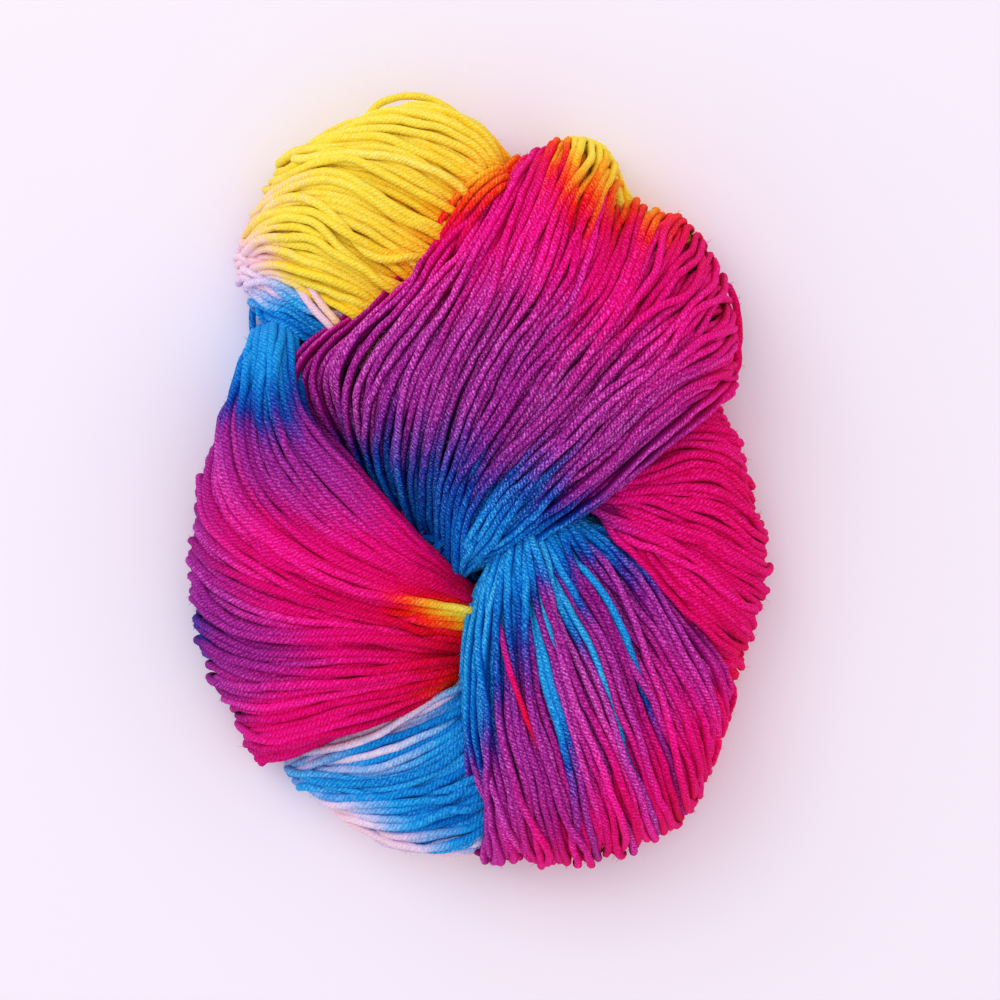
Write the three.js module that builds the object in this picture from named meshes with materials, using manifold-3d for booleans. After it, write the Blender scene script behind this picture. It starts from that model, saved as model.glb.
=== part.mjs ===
// A skein of yarn, folded over and twisted through itself into a loose bundle
// that lies on a flat surface.  Millimetres, +Z up.  The origin is on the
// surface, under the middle of the bundle.
//
// The skein is one solid.  Its lobes are thick pads of turns: each pad is
// spanned by a few turns of yarn, from where they leave the pinch (root) over
// the crown to where they fold over the rim (tip).  Neighbouring pads pass
// over and under one another, and all of them are joined and then flattened
// where they rest on the surface.

import * as THREE from 'three';
import { mergeVertices } from 'three/addons/utils/BufferGeometryUtils.js';
import Module from 'manifold-3d';

// ---- driving dimensions (mm) ------------------------------------------------
const LENGTH = 194.5;          // along Y
const WIDTH = 146.5;           // along X
const FLAT_PRESS = 1.2;        // how far the undersides press into the surface
const STEPS_ALONG = 13;        // facets along a turn
const STEPS_ACROSS = 4;        // facets between two listed turns, at most
const FACET_WIDTH = 9;         // wanted facet width across the turns
const EDGE_ROLL = 7;           // how far a pad's side edge is rounded
const ROOT_ROLL = 0.06;        // rounded share of a turn at its root
const YARN_COLOUR = 0xb01a86;  // the colour that the dye shows most
const YARN_ROUGHNESS = 0.85;

// ---- the turns that span each pad ---------------------------------------------
// root, leave, arrive, tip: plan position of the turn's curve and its two pulls
// zRoot, zCrown, zTip:      height of the upper side at the root and the crown,
//                           and of the middle of the folded rim
// under:                    height of the underside
// shoulder:                 share of the turn after which it falls to the rim
const PADS = {
  upper: { shoulder: 0.62, turns: [
    { root: [-36, -9], leave: [-70, 42], arrive: [-20, 29], tip: [8.8, 78], zRoot: 18, zCrown: 31, zTip: 17, under: 4 },
    { root: [-30, -13], leave: [-63, 34], arrive: [-9, 42], tip: [11, 80], zRoot: 20, zCrown: 36, zTip: 16, under: 4 },
    { root: [-23, -17], leave: [-48, 29], arrive: [1.6, 38], tip: [14, 82], zRoot: 23, zCrown: 40, zTip: 15, under: 2 },
    { root: [-12, -20], leave: [-19, 20.4], arrive: [19.4, 44], tip: [26.8, 77], zRoot: 30, zCrown: 44, zTip: 13, under: 0 },
    { root: [-5, -19], leave: [6, 14.7], arrive: [42, 29.6], tip: [54.5, 63], zRoot: 36, zCrown: 45, zTip: 12, under: 0 },
    { root: [-4.5, -20], leave: [15, 5], arrive: [40.7, 24.4], tip: [64.2, 45], zRoot: 36, zCrown: 42, zTip: 13, under: 0 },
    { root: [-3, -21], leave: [20, -16.5], arrive: [51, 21], tip: [66.5, 18], zRoot: 35, zCrown: 37, zTip: 17, under: 8 },
  ] },
  crest: { shoulder: 0.55, turns: [
    { root: [-31.5, 33], leave: [-35.7, 42.6], arrive: [-48.6, 56.8], tip: [-60, 54.5], zRoot: 24, zCrown: 23, zTip: 13, under: 4 },
    { root: [-15, 47], leave: [-26.8, 57.6], arrive: [-42.5, 61.5], tip: [-58, 62], zRoot: 28, zCrown: 29, zTip: 11, under: 0 },
    { root: [0, 66.2], leave: [-16.6, 81.2], arrive: [-26.8, 83.6], tip: [-48.8, 80.8], zRoot: 29, zCrown: 29, zTip: 10, under: 0 },
    { root: [6.8, 73.8], leave: [-4, 87.5], arrive: [-19.4, 96.8], tip: [-37, 88.8], zRoot: 26, zCrown: 26, zTip: 10, under: 0 },
    { root: [9.5, 75.5], leave: [6.4, 86.7], arrive: [-9.3, 99.9], tip: [-21.5, 95.2], zRoot: 22, zCrown: 21, zTip: 10, under: 0 },
  ] },
  tuck: { shoulder: 0.5, turns: [
    { root: [-26, 22], leave: [-36, 25], arrive: [-46, 31], tip: [-54, 41], zRoot: 14, zCrown: 13, zTip: 6, under: 0 },
    { root: [-28, 31], leave: [-43, 34.5], arrive: [-50, 41.5], tip: [-57.5, 47], zRoot: 17, zCrown: 16, zTip: 8, under: 0 },
    { root: [-26, 37], leave: [-40.8, 43], arrive: [-48.3, 48], tip: [-59, 52], zRoot: 19, zCrown: 18, zTip: 8, under: 0 },
    { root: [-24, 42], leave: [-36.9, 49], arrive: [-48.6, 53.5], tip: [-59.5, 57], zRoot: 19, zCrown: 18, zTip: 8, under: 0 },
  ] },
  left: { shoulder: 0.6, turns: [
    { root: [2, -29], leave: [-18.6, -6], arrive: [-49, 12], tip: [-43, 46], zRoot: 33, zCrown: 33, zTip: 9, under: 4 },
    { root: [3, -32], leave: [-35.6, -17], arrive: [-70, 1], tip: [-53, 50], zRoot: 31, zCrown: 31, zTip: 8, under: 0 },
    { root: [4, -34], leave: [-27.4, -25.2], arrive: [-78, -13], tip: [-61.5, 27], zRoot: 30, zCrown: 30, zTip: 9, under: 0 },
    { root: [5, -37], leave: [-26, -32.3], arrive: [-67.5, -22.5], tip: [-70.5, 4.5], zRoot: 28, zCrown: 30, zTip: 10, under: 0 },
    { root: [5.5, -43], leave: [-26.5, -36], arrive: [-50.5, -35], tip: [-73, -28], zRoot: 27, zCrown: 30, zTip: 9, under: 0 },
    { root: [6, -46], leave: [-25.6, -41.2], arrive: [-49, -48.8], tip: [-70.5, -40], zRoot: 26, zCrown: 29, zTip: 9, under: 0 },
    { root: [6, -48.5], leave: [-23.2, -48.8], arrive: [-46.3, -57], tip: [-66, -54], zRoot: 25, zCrown: 27, zTip: 9, under: 0 },
    { root: [6, -51], leave: [-19.3, -58.2], arrive: [-36.4, -68.5], tip: [-54.5, -71.8], zRoot: 24, zCrown: 23, zTip: 9, under: 0 },
  ] },
  lowerLeft: { shoulder: 0.5, turns: [
    { root: [10, -42], leave: [-11, -50], arrive: [-32.3, -56], tip: [-50, -63], zRoot: 15, zCrown: 13, zTip: 6, under: 0 },
    { root: [10, -49], leave: [-11, -59.4], arrive: [-32.3, -64], tip: [-47.5, -72], zRoot: 19, zCrown: 17, zTip: 7, under: 0 },
    { root: [10, -58], leave: [-15, -72.6], arrive: [-27, -70.3], tip: [-45.5, -74.5], zRoot: 22, zCrown: 20, zTip: 7, under: 0 },
    { root: [10, -77.5], leave: [-15.8, -84.8], arrive: [-19.5, -83.3], tip: [-37.5, -80.5], zRoot: 23, zCrown: 20, zTip: 7, under: 0 },
    { root: [10, -91], leave: [-3.3, -95.4], arrive: [-13.5, -92], tip: [-20, -90.5], zRoot: 17, zCrown: 14, zTip: 7, under: 0 },
  ] },
  bottom: { shoulder: 0.66, turns: [
    { root: [4, -10], leave: [-10.5, -32], arrive: [0, -78.6], tip: [2.2, -96.5], zRoot: 30, zCrown: 31, zTip: 10, under: 0 },
    { root: [7, -9], leave: [-2.2, -42], arrive: [3.4, -70], tip: [8.5, -96.5], zRoot: 32, zCrown: 35, zTip: 10, under: 0 },
    { root: [10, -8], leave: [3, -42.5], arrive: [19, -69], tip: [19.5, -97], zRoot: 32, zCrown: 36, zTip: 10, under: 0 },
    { root: [13, -6], leave: [16, -40.5], arrive: [30, -66], tip: [32, -94.5], zRoot: 32, zCrown: 36, zTip: 10, under: 0 },
    { root: [15.5, -4], leave: [27.5, -36.5], arrive: [41.2, -61], tip: [43.5, -90], zRoot: 31, zCrown: 35, zTip: 10, under: 0 },
    { root: [18, -2], leave: [35.3, -29.7], arrive: [53, -53.8], tip: [51.5, -81.5], zRoot: 30, zCrown: 33, zTip: 10, under: 0 },
    { root: [20, 1], leave: [41, -18], arrive: [52.3, -35.2], tip: [62, -52.5], zRoot: 28, zCrown: 29, zTip: 10, under: 0 },
  ] },
  inner: { shoulder: 0.6, turns: [
    { root: [28, -20], leave: [43, -41], arrive: [53.8, -62.8], tip: [46, -89], zRoot: 25, zCrown: 27, zTip: 8, under: 0 },
    { root: [30.5, -17.5], leave: [41.4, -32.5], arrive: [62.3, -56.5], tip: [55.5, -76.5], zRoot: 25, zCrown: 26, zTip: 8, under: 0 },
    { root: [33, -16.2], leave: [42.5, -27.7], arrive: [61, -43.3], tip: [62.2, -59], zRoot: 25, zCrown: 25, zTip: 8, under: 0 },
  ] },
  right: { shoulder: 0.55, turns: [
    { root: [16, 8], leave: [35, 18], arrive: [48, 25], tip: [62, 27], zRoot: 20, zCrown: 17, zTip: 9, under: 0 },
    { root: [18, 1], leave: [36, 9], arrive: [51.3, 15.4], tip: [65.8, 16.5], zRoot: 25, zCrown: 23, zTip: 10, under: 0 },
    { root: [19, -2.5], leave: [41.4, -3.2], arrive: [57.7, 3.8], tip: [69.2, -3], zRoot: 27, zCrown: 28, zTip: 10, under: 0 },
    { root: [19, -4], leave: [43.6, -6.6], arrive: [57.8, -10.6], tip: [72, -15], zRoot: 27, zCrown: 28, zTip: 10, under: 0 },
    { root: [20, -6], leave: [44.3, -11.4], arrive: [58.2, -25.4], tip: [73, -25.5], zRoot: 27, zCrown: 27, zTip: 10, under: 0 },
    { root: [22, -9], leave: [43.7, -19.3], arrive: [57, -40], tip: [69, -40], zRoot: 27, zCrown: 26, zTip: 9, under: 0 },
    { root: [24, -12], leave: [45.5, -26.8], arrive: [53.4, -40], tip: [62.5, -52.5], zRoot: 26, zCrown: 24, zTip: 9, under: 0 },
  ] },
  behind: { shoulder: 0.5, turns: [
    { root: [20.5, 62.5], leave: [18.4, 69.4], arrive: [11.7, 85], tip: [23.5, 87], zRoot: 18, zCrown: 17, zTip: 8, under: 0 },
    { root: [28, 57.5], leave: [29.2, 65.3], arrive: [25, 78], tip: [31.5, 83.5], zRoot: 20, zCrown: 18, zTip: 8, under: 0 },
    { root: [40.5, 52.5], leave: [41, 59.8], arrive: [39.4, 67.5], tip: [37.5, 75.5], zRoot: 19, zCrown: 17, zTip: 8, under: 0 },
    { root: [53, 47.5], leave: [53.5, 54.6], arrive: [52.8, 61.2], tip: [48.5, 68.5], zRoot: 17, zCrown: 15, zTip: 8, under: 0 },
  ] },
};

// the packed middle where all the turns pass through one another
const HEART = { centre: [8, -8, 13], halfSizes: [46, 52, 14] };

// ---- helpers --------------------------------------------------------------------
const clamp01 = (t) => Math.min(1, Math.max(0, t));
const quarterRound = (t) => Math.sqrt(Math.max(0, 1 - (1 - clamp01(t)) ** 2));
const throughFour = (a, b, c, d, t) =>
  0.5 * (2 * b + (c - a) * t + (2 * a - 5 * b + 4 * c - d) * t * t + (3 * b - a - 3 * c + d) * t ** 3);

// one station of a turn: plan position, upper side, underside and rim height
function stationOfTurn(turn, shoulder, s) {
  const flat = (p) => new THREE.Vector2(p[0], p[1]);
  const curve = new THREE.CubicBezierCurve(flat(turn.root), flat(turn.leave), flat(turn.arrive), flat(turn.tip));
  const plan = curve.getPointAt(s);
  const rise = Math.sin((Math.PI / 2) * clamp01(s / 0.5));
  const top = turn.zRoot + (turn.zCrown - turn.zRoot) * rise;
  return [plan.x, plan.y, top, turn.under, turn.zTip];
}

// the same station between two listed turns
function stationAcross(rows, u, i) {
  const k = Math.min(Math.floor(u), rows.length - 2);
  const f = u - k;
  const at = (j) => rows[j][i];
  return rows[0][i].map((unused, c) => {
    const b = at(k)[c];
    const d = at(k + 1)[c];
    const a = k > 0 ? at(k - 1)[c] : 2 * b - d;
    const e = k + 2 < rows.length ? at(k + 2)[c] : 2 * d - b;
    return throughFour(a, b, d, e, f);
  });
}

// a closed pad spanned by its turns
function padGeometry({ shoulder, turns }) {
  // stations crowd towards the tip, where the pad bends over the rim
  const along = [];
  for (let i = 0; i <= STEPS_ALONG; i += 1) {
    const t = i / STEPS_ALONG;
    along.push(t < 0.5 ? t * 1.1 : 0.55 + 0.45 * Math.sin((Math.PI / 2) * (t - 0.5) * 2));
  }
  const rows = turns.map((turn) => along.map((s) => stationOfTurn(turn, shoulder, s)));

  // facets across, finer near the two side edges
  const across = [];
  for (let k = 0; k < turns.length - 1; k += 1) {
    const gap = Math.hypot(rows[k + 1][STEPS_ALONG][0] - rows[k][STEPS_ALONG][0], rows[k + 1][STEPS_ALONG][1] - rows[k][STEPS_ALONG][1]);
    const edge = k === 0 || k === turns.length - 2;
    const n = Math.min(STEPS_ACROSS, Math.max(edge ? 3 : 1, Math.round(gap / FACET_WIDTH)));
    for (let j = 0; j < n; j += 1) across.push(k + j / n);
  }
  across.push(turns.length - 1);
  const nu = across.length - 1;
  const ns = STEPS_ALONG;

  const grid = across.map((u) => along.map((s, i) => stationAcross(rows, u, i)));
  const top = [];
  const low = [];
  for (let a = 0; a <= nu; a += 1) {
    for (let i = 0; i <= ns; i += 1) {
      const [x, y, zTop, zUnder, zTip] = grid[a][i];
      // distance to the nearer side edge, measured at the same station
      const side = Math.min(
        Math.hypot(x - grid[0][i][0], y - grid[0][i][1]),
        Math.hypot(x - grid[nu][i][0], y - grid[nu][i][1]));
      const s = along[i];
      const roll = quarterRound(side / EDGE_ROLL) * quarterRound(s / ROOT_ROLL);
      const fallTop = quarterRound((1 - s) / (1 - shoulder));
      const fallLow = quarterRound((1 - s) / 0.2);
      const bottom = zUnder - FLAT_PRESS;
      const edgeMid = (zTop + bottom) / 2;
      const seam = THREE.MathUtils.lerp(edgeMid, zTip, clamp01((s - 0.5) / 0.5));
      top.push([x, y, seam + (zTop - seam) * roll * fallTop]);
      low.push([x, y, seam + (bottom - seam) * roll * fallLow]);
    }
  }

  const positions = [];
  const corner = (list, a, i) => list[a * (ns + 1) + i];
  const face = (p, q, r) => positions.push(...p, ...q, ...r);
  const turnsLeft = (p, q, r) => (q[0] - p[0]) * (r[1] - p[1]) - (q[1] - p[1]) * (r[0] - p[0]);
  const mid = Math.floor(nu / 2);
  const flip = turnsLeft(corner(top, mid, 4), corner(top, mid, 5), corner(top, mid + 1, 4)) < 0;
  for (let a = 0; a < nu; a += 1) {
    for (let i = 0; i < ns; i += 1) {
      for (const [list, up] of [[top, !flip], [low, flip]]) {
        const p = corner(list, a, i);
        const q = corner(list, a, i + 1);
        const r = corner(list, a + 1, i + 1);
        const t = corner(list, a + 1, i);
        if (up) { face(p, q, r); face(p, r, t); } else { face(p, r, q); face(p, t, r); }
      }
    }
  }
  const geometry = new THREE.BufferGeometry();
  geometry.setAttribute('position', new THREE.Float32BufferAttribute(positions, 3));
  return geometry;
}

// ---- joining ----------------------------------------------------------------------
const wasm = await Module();
wasm.setup();

function toSolid(geometry) {
  const bare = geometry.clone();
  bare.deleteAttribute('normal');
  bare.deleteAttribute('uv');
  const merged = mergeVertices(bare, 1e-4);
  const index = [];
  const source = merged.index.array;
  for (let i = 0; i < source.length; i += 3) {
    const [a, b, c] = [source[i], source[i + 1], source[i + 2]];
    if (a !== b && b !== c && a !== c) index.push(a, b, c);
  }
  return new wasm.Manifold(new wasm.Mesh({
    numProp: 3,
    vertProperties: new Float32Array(merged.attributes.position.array),
    triVerts: new Uint32Array(index),
  }));
}

function toGeometry(solid) {
  const mesh = solid.getMesh();
  const geometry = new THREE.BufferGeometry();
  const xyz = new Float32Array(mesh.numVert * 3);
  for (let v = 0; v < mesh.numVert; v += 1) {
    for (let c = 0; c < 3; c += 1) xyz[3 * v + c] = mesh.vertProperties[v * mesh.numProp + c];
  }
  geometry.setAttribute('position', new THREE.BufferAttribute(xyz, 3));
  geometry.setIndex(new THREE.BufferAttribute(new Uint32Array(mesh.triVerts), 1));
  return geometry;
}

const heart = new THREE.SphereGeometry(1, 20, 12);
heart.rotateX(Math.PI / 2);
heart.scale(...HEART.halfSizes);
heart.translate(...HEART.centre);

let skein = toSolid(heart);
for (const pad of Object.values(PADS)) skein = skein.add(toSolid(padGeometry(pad)));

// flatten what rests on the surface
const below = new THREE.BoxGeometry(400, 400, 40);
below.translate(0, 0, -20);
skein = skein.subtract(toSolid(below));

// keep the outer body, without any pocket closed inside it
const shells = skein.decompose().sort((a, b) => b.volume() - a.volume());
skein = shells[0];

const skeinGeometry = toGeometry(skein);
skeinGeometry.computeBoundingBox();
const box = skeinGeometry.boundingBox;
const size = box.getSize(new THREE.Vector3());
skeinGeometry.translate(-(box.min.x + box.max.x) / 2, -(box.min.y + box.max.y) / 2, -box.min.z);
skeinGeometry.scale(WIDTH / size.x, LENGTH / size.y, 1);
skeinGeometry.computeVertexNormals();

const yarn = new THREE.Mesh(
  skeinGeometry,
  new THREE.MeshStandardMaterial({ color: YARN_COLOUR, roughness: YARN_ROUGHNESS, metalness: 0 }),
);
yarn.name = 'yarn_skein';

const group = new THREE.Group();
group.add(yarn);

export default group;
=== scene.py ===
"""A folded, twisted skein of space-dyed yarn, built strand by strand round its solid."""

import math

import bpy
import numpy as np
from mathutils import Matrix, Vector


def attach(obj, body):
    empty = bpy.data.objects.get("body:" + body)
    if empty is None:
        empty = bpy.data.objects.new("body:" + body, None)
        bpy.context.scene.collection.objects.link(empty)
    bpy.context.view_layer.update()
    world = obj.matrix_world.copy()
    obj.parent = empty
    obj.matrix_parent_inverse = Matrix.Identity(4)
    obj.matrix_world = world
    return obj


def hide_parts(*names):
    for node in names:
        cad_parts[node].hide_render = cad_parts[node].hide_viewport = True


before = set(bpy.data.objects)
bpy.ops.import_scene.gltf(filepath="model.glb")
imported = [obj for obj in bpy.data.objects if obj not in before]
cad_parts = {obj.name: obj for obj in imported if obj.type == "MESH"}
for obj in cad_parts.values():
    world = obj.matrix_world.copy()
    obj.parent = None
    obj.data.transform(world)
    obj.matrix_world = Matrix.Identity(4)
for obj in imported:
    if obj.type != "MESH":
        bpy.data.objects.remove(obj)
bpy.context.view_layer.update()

MM = 0.001

# ---------------------------------------------------------------- sizes (mm)
YARN = 2.0            # strand diameter
SINK = 0.82           # how far one layer lies below the next, in diameters
DEEPEST = 7.6         # turns that lie deeper than this inside a lobe aren't made
STEP = (1.8, 2.6, 3.2)      # distance between rings of a strand, for each layer
SIDES = (8, 5, 4)           # sides of a strand, for each layer
LAY = 4.4             # length of one full twist of the yarn
PLIES = 4             # strands twisted together in the yarn

# ------------------------------------------------- the lie of the turns (mm)
# One row for each main turn of a lobe, from its root at the pinch to its fold
# at the rim:  five places in plan; the height of its upper side at the root
# and at the crown, of the middle of the fold at the rim, and of its underside;
# and the dye at seven places from root to rim (see DYE_AT and DYES).
LOBES = {
    "upper": dict(shoulder=0.6, roll=7, tuck=5, drop=15, turns=[
        (((-30.2, 0.2), (-42.8, 13.2), (-45.2, 28.2), (-25, 44.7), (8.2, 77.2)), (13, 29, 17, 6), (0.64, 0.58, 0.56, 0.50, 0.34, 0.20, 0.06)),
        (((-23.5, -6.8), (-33, 9.7), (-36.5, 28.2), (-18.2, 47.7), (9.8, 79.5)), (13, 34.5, 16, 5), (0.76, 0.71, 0.60, 0.54, 0.42, 0.30, 0.16)),
        (((-19, -13.3), (-25.8, 5.7), (-24.8, 25.7), (-7.5, 47.2), (12.2, 80.5)), (13, 39, 15, 3), (0.77, 0.75, 0.64, 0.56, 0.44, 0.40, 0.32)),
        (((-14.2, -18.8), (-18.2, 2.2), (-12.5, 24.2), (2.5, 47.7), (16, 82.7)), (14, 43, 14, 0), (0.76, 0.75, 0.68, 0.57, 0.44, 0.40, 0.33)),
        (((-9.2, -22.3), (-10, -0.3), (-1, 27.2), (12.5, 50.2), (23.5, 85.7)), (18, 45, 13, 0), (0.76, 0.75, 0.69, 0.57, 0.43, 0.27, 0.05)),
        (((-7.5, -23.1), (-6.5, 0), (5.5, 26.2), (20, 47.7), (31, 82.2)), (22, 45.5, 12, 0), (0.77, 0.75, 0.69, 0.57, 0.41, 0.17, 0.04)),
        (((-6, -23.1), (-2.5, 0.2), (12.5, 24.7), (28, 44.7), (36.8, 71)), (26, 45.5, 12, 0), (0.78, 0.76, 0.68, 0.57, 0.42, 0.32, 0.11)),
        (((-5.2, -22.8), (1, -0.6), (18.5, 23.2), (35.5, 43.7), (45.5, 68)), (28, 45.5, 12, 0), (0.79, 0.76, 0.68, 0.57, 0.43, 0.35, 0.14)),
        (((-4.5, -22.6), (5, -1.8), (24.8, 20.7), (43, 41.7), (54.8, 63)), (30, 45, 12, 0), (0.79, 0.77, 0.70, 0.56, 0.44, 0.37, 0.30)),
        (((-3, -22.3), (11.5, -6.8), (31.5, 14.2), (51, 33.2), (63.2, 46.2)), (32, 43, 13, 2), (0.79, 0.78, 0.72, 0.57, 0.48, 0.42, 0.37)),
        (((-2, -21.8), (13.5, -11.3), (32.5, 4.7), (51.5, 21.7), (65, 34.2)), (33, 40, 15, 6), (0.79, 0.78, 0.74, 0.58, 0.52, 0.46, 0.40)),
        (((-1, -21.8), (14, -14.3), (30, -3.3), (48, 11.2), (62.5, 23.2)), (32, 36, 17, 9), (0.80, 0.79, 0.76, 0.62, 0.53, 0.47, 0.42)),
    ]),
    "crest": dict(shoulder=0.5, roll=6, tuck=8, drop=5, turns=[
        (((-31.5, 33.2), (-36.5, 41.2), (-42.5, 47.2), (-49, 51.2), (-54, 50.7)), (24, 22, 12, 6), (0.05, 0.03, 0.01, 0.00, -0.03, -0.05, -0.07)),
        (((-23.2, 39.7), (-32.8, 46.2), (-42.5, 51.7), (-50.5, 55.7), (-57.2, 55.7)), (27, 26, 12, 2), (0.09, 0.06, 0.03, 0.01, -0.01, -0.04, -0.06)),
        (((-15, 47.2), (-25.8, 54.7), (-38.2, 59.5), (-48.5, 62.2), (-57.8, 61.2)), (28, 28.5, 11, 0), (0.12, 0.09, 0.05, 0.02, 0.00, -0.02, -0.04)),
        (((-7.5, 55.7), (-19.5, 64), (-32, 69), (-44.5, 71.2), (-54.5, 69.2)), (29, 29.5, 10, 0), (0.13, 0.10, 0.07, 0.03, 0.00, -0.01, -0.02)),
        (((0, 66.5), (-12, 75.2), (-23.2, 80.5), (-35.8, 82.2), (-48.5, 80.7)), (29, 29, 10, 0), (0.12, 0.09, 0.05, 0.02, 0.01, 0.00, 0.00)),
        (((6.2, 73.2), (-2.5, 82.2), (-11.5, 87.5), (-23, 90), (-36.2, 87)), (26, 26, 10, 0), (0.12, 0.09, 0.06, 0.03, 0.01, 0.00, 0.00)),
        (((8, 74.7), (4.8, 82.2), (-2.5, 89), (-11, 92.2), (-20.2, 91.7)), (22, 22, 10, 0), (0.12, 0.09, 0.06, 0.03, 0.01, 0.00, 0.00)),
    ]),
    "tuck": dict(shoulder=0.45, roll=4, tuck=6, drop=2, turns=[
        (((-31.5, 32.2), (-39, 32.7), (-45, 35.2), (-51, 39.7), (-55.2, 44.2)), (17, 16, 9, 0), (0.78, 0.78, 0.77, 0.76, 0.79, 0.81, 0.82)),
        (((-30.2, 34.2), (-39, 36.2), (-45.2, 39.2), (-52.5, 43.2), (-57.5, 47.2)), (19, 18, 9, 0), (0.84, 0.82, 0.80, 0.77, 0.81, 0.85, 0.88)),
        (((-29, 35.7), (-38.2, 39.7), (-45, 43.7), (-53, 47.7), (-59.2, 51)), (20, 19, 10, 0), (0.92, 0.89, 0.85, 0.80, 0.88, 0.91, 0.93)),
        (((-28, 37.2), (-37, 43.2), (-44, 47.7), (-52.5, 52.7), (-60, 55.2)), (20, 19, 10, 0), (0.95, 0.94, 0.93, 0.88, 0.93, 0.94, 0.94)),
        (((-27.5, 38.2), (-36, 45.2), (-43.2, 51), (-52, 56.7), (-58.8, 59.5)), (20, 17, 10, 0), (0.96, 0.95, 0.94, 0.93, 0.94, 0.95, 0.95)),
    ]),
    "left": dict(shoulder=0.58, roll=6.5, tuck=7, drop=5, turns=[
        (((-3, -25.3), (-17.5, -12.3), (-32, 4.2), (-42.8, 17.4), (-47, 38.7)), (33, 34, 13, 8), (0.38, 0.41, 0.43, 0.56, 0.69, 0.79, 0.83)),
        (((-3, -26.8), (-24, -12.8), (-40.2, 3.2), (-48.5, 19.7), (-50.2, 40.2)), (32, 33, 11, 3), (0.37, 0.39, 0.43, 0.54, 0.70, 0.81, 0.83)),
        (((-3, -28.8), (-33.2, -15.6), (-49.5, -0.3), (-55, 17.2), (-53.5, 38.7)), (30, 32, 10, 0), (0.36, 0.36, 0.40, 0.50, 0.68, 0.81, 0.83)),
        (((-3, -30.8), (-33.8, -22.3), (-54.8, -8.3), (-60.5, 8.2), (-57.8, 32.7)), (26, 31, 10, 0), (0.16, 0.28, 0.37, 0.43, 0.58, 0.75, 0.81)),
        (((-3, -32.3), (-32.5, -25.8), (-53.2, -14.8), (-62.5, -2.8), (-62.8, 14.2)), (25.5, 31, 10, 0), (0.01, 0.16, 0.35, 0.42, 0.50, 0.57, 0.62)),
        (((-3, -34), (-31.5, -29.1), (-52, -20.3), (-64.8, -8.6), (-68.5, 5.2)), (25, 30.5, 10, 0), (0.01, 0.15, 0.34, 0.42, 0.47, 0.52, 0.57)),
        (((-3, -37.3), (-27, -32.8), (-44.5, -27.3), (-61.5, -18.8), (-72.5, -11.3)), (24, 30, 9, 0), (0.16, 0.25, 0.33, 0.42, 0.46, 0.52, 0.58)),
        (((-2.8, -40.8), (-24.5, -37.3), (-44.5, -34.3), (-60.8, -31.1), (-72.8, -27.8)), (23, 30, 9, 0), (0.27, 0.29, 0.33, 0.40, 0.50, 0.57, 0.63)),
        (((-2.8, -44.3), (-23.2, -43.5), (-42, -44.3), (-57, -43.5), (-70.8, -39.8)), (22.5, 29.5, 9, 0), (0.29, 0.30, 0.33, 0.45, 0.58, 0.62, 0.70)),
        (((-2.8, -46.8), (-20.8, -49.8), (-38.2, -52.3), (-54.5, -54.8), (-66.5, -52.8)), (22, 28, 9, 0), (0.20, 0.24, 0.31, 0.40, 0.44, 0.50, 0.58)),
        (((-2.5, -49.8), (-14.5, -55.8), (-30, -62.5), (-43.8, -68), (-55.2, -70.5)), (21.5, 24, 9, 0), (0.16, 0.21, 0.30, 0.37, 0.40, 0.42, 0.46)),
    ]),
    "lower_left": dict(shoulder=0.45, roll=5, tuck=8, drop=2, turns=[
        (((-1, -43.5), (-10.5, -49.8), (-24.5, -54.8), (-37, -60.3), (-49.5, -64.3)), (17, 15, 6, 0), (0.84, 0.91, 0.92, 0.93, 0.93, 0.93, 0.93)),
        (((0, -48.8), (-9.5, -55.5), (-23.2, -60.8), (-37, -67.3), (-48, -71.3)), (20, 18, 7, 0), (0.81, 0.86, 0.91, 0.92, 0.91, 0.89, 0.88)),
        (((0.5, -57.8), (-9.5, -64.3), (-22, -69), (-34.5, -71.8), (-47, -73.8)), (22, 20, 7, 0), (0.79, 0.80, 0.83, 0.90, 0.91, 0.86, 0.82)),
        (((1, -67.8), (-9.5, -73), (-20.8, -76.3), (-33.2, -76.8), (-44.5, -76.5)), (23, 20.5, 7, 0), (0.79, 0.79, 0.80, 0.82, 0.81, 0.82, 0.90)),
        (((1.5, -77.3), (-7, -80.8), (-17, -83.8), (-28.2, -83.5), (-38.2, -81.3)), (23, 20, 7, 0), (0.79, 0.79, 0.80, 0.83, 0.91, 0.94, 0.94)),
        (((2, -84.8), (-3.2, -87.8), (-12, -90.5), (-20.8, -90), (-30, -87.3)), (20, 17, 7, 0), (0.79, 0.82, 0.86, 0.92, 0.94, 0.95, 0.95)),
        (((3, -91.3), (-0.5, -93), (-6.2, -94), (-13.2, -93.3), (-20.5, -91.5)), (16, 14, 7, 0), (0.86, 0.90, 0.93, 0.94, 0.95, 0.95, 0.95)),
    ]),
    "bottom": dict(shoulder=0.64, roll=7, tuck=8, drop=4, turns=[
        (((4, -17.1), (0, -29.8), (-1.2, -52.3), (-0.2, -74.8), (2, -95.3)), (30, 30, 10, 17), (0.80, 0.80, 0.80, 0.79, 0.64, 0.58, 0.54)),
        (((6.2, -16.1), (3.5, -32.3), (3.2, -54.8), (5.5, -77.3), (8.5, -96.3)), (32, 34, 10, 10), (0.81, 0.81, 0.80, 0.74, 0.58, 0.52, 0.47)),
        (((9.2, -14.6), (8.5, -29.8), (11.8, -52.3), (17.2, -74.8), (20, -97.3)), (32, 36, 10, 3), (0.81, 0.80, 0.72, 0.59, 0.54, 0.47, 0.40)),
        (((12.5, -12.8), (16.5, -29.8), (22.5, -49.8), (29.5, -72.3), (33.2, -95.3)), (32, 36.5, 10, 0), (0.82, 0.77, 0.63, 0.56, 0.46, 0.39, 0.35)),
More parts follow.
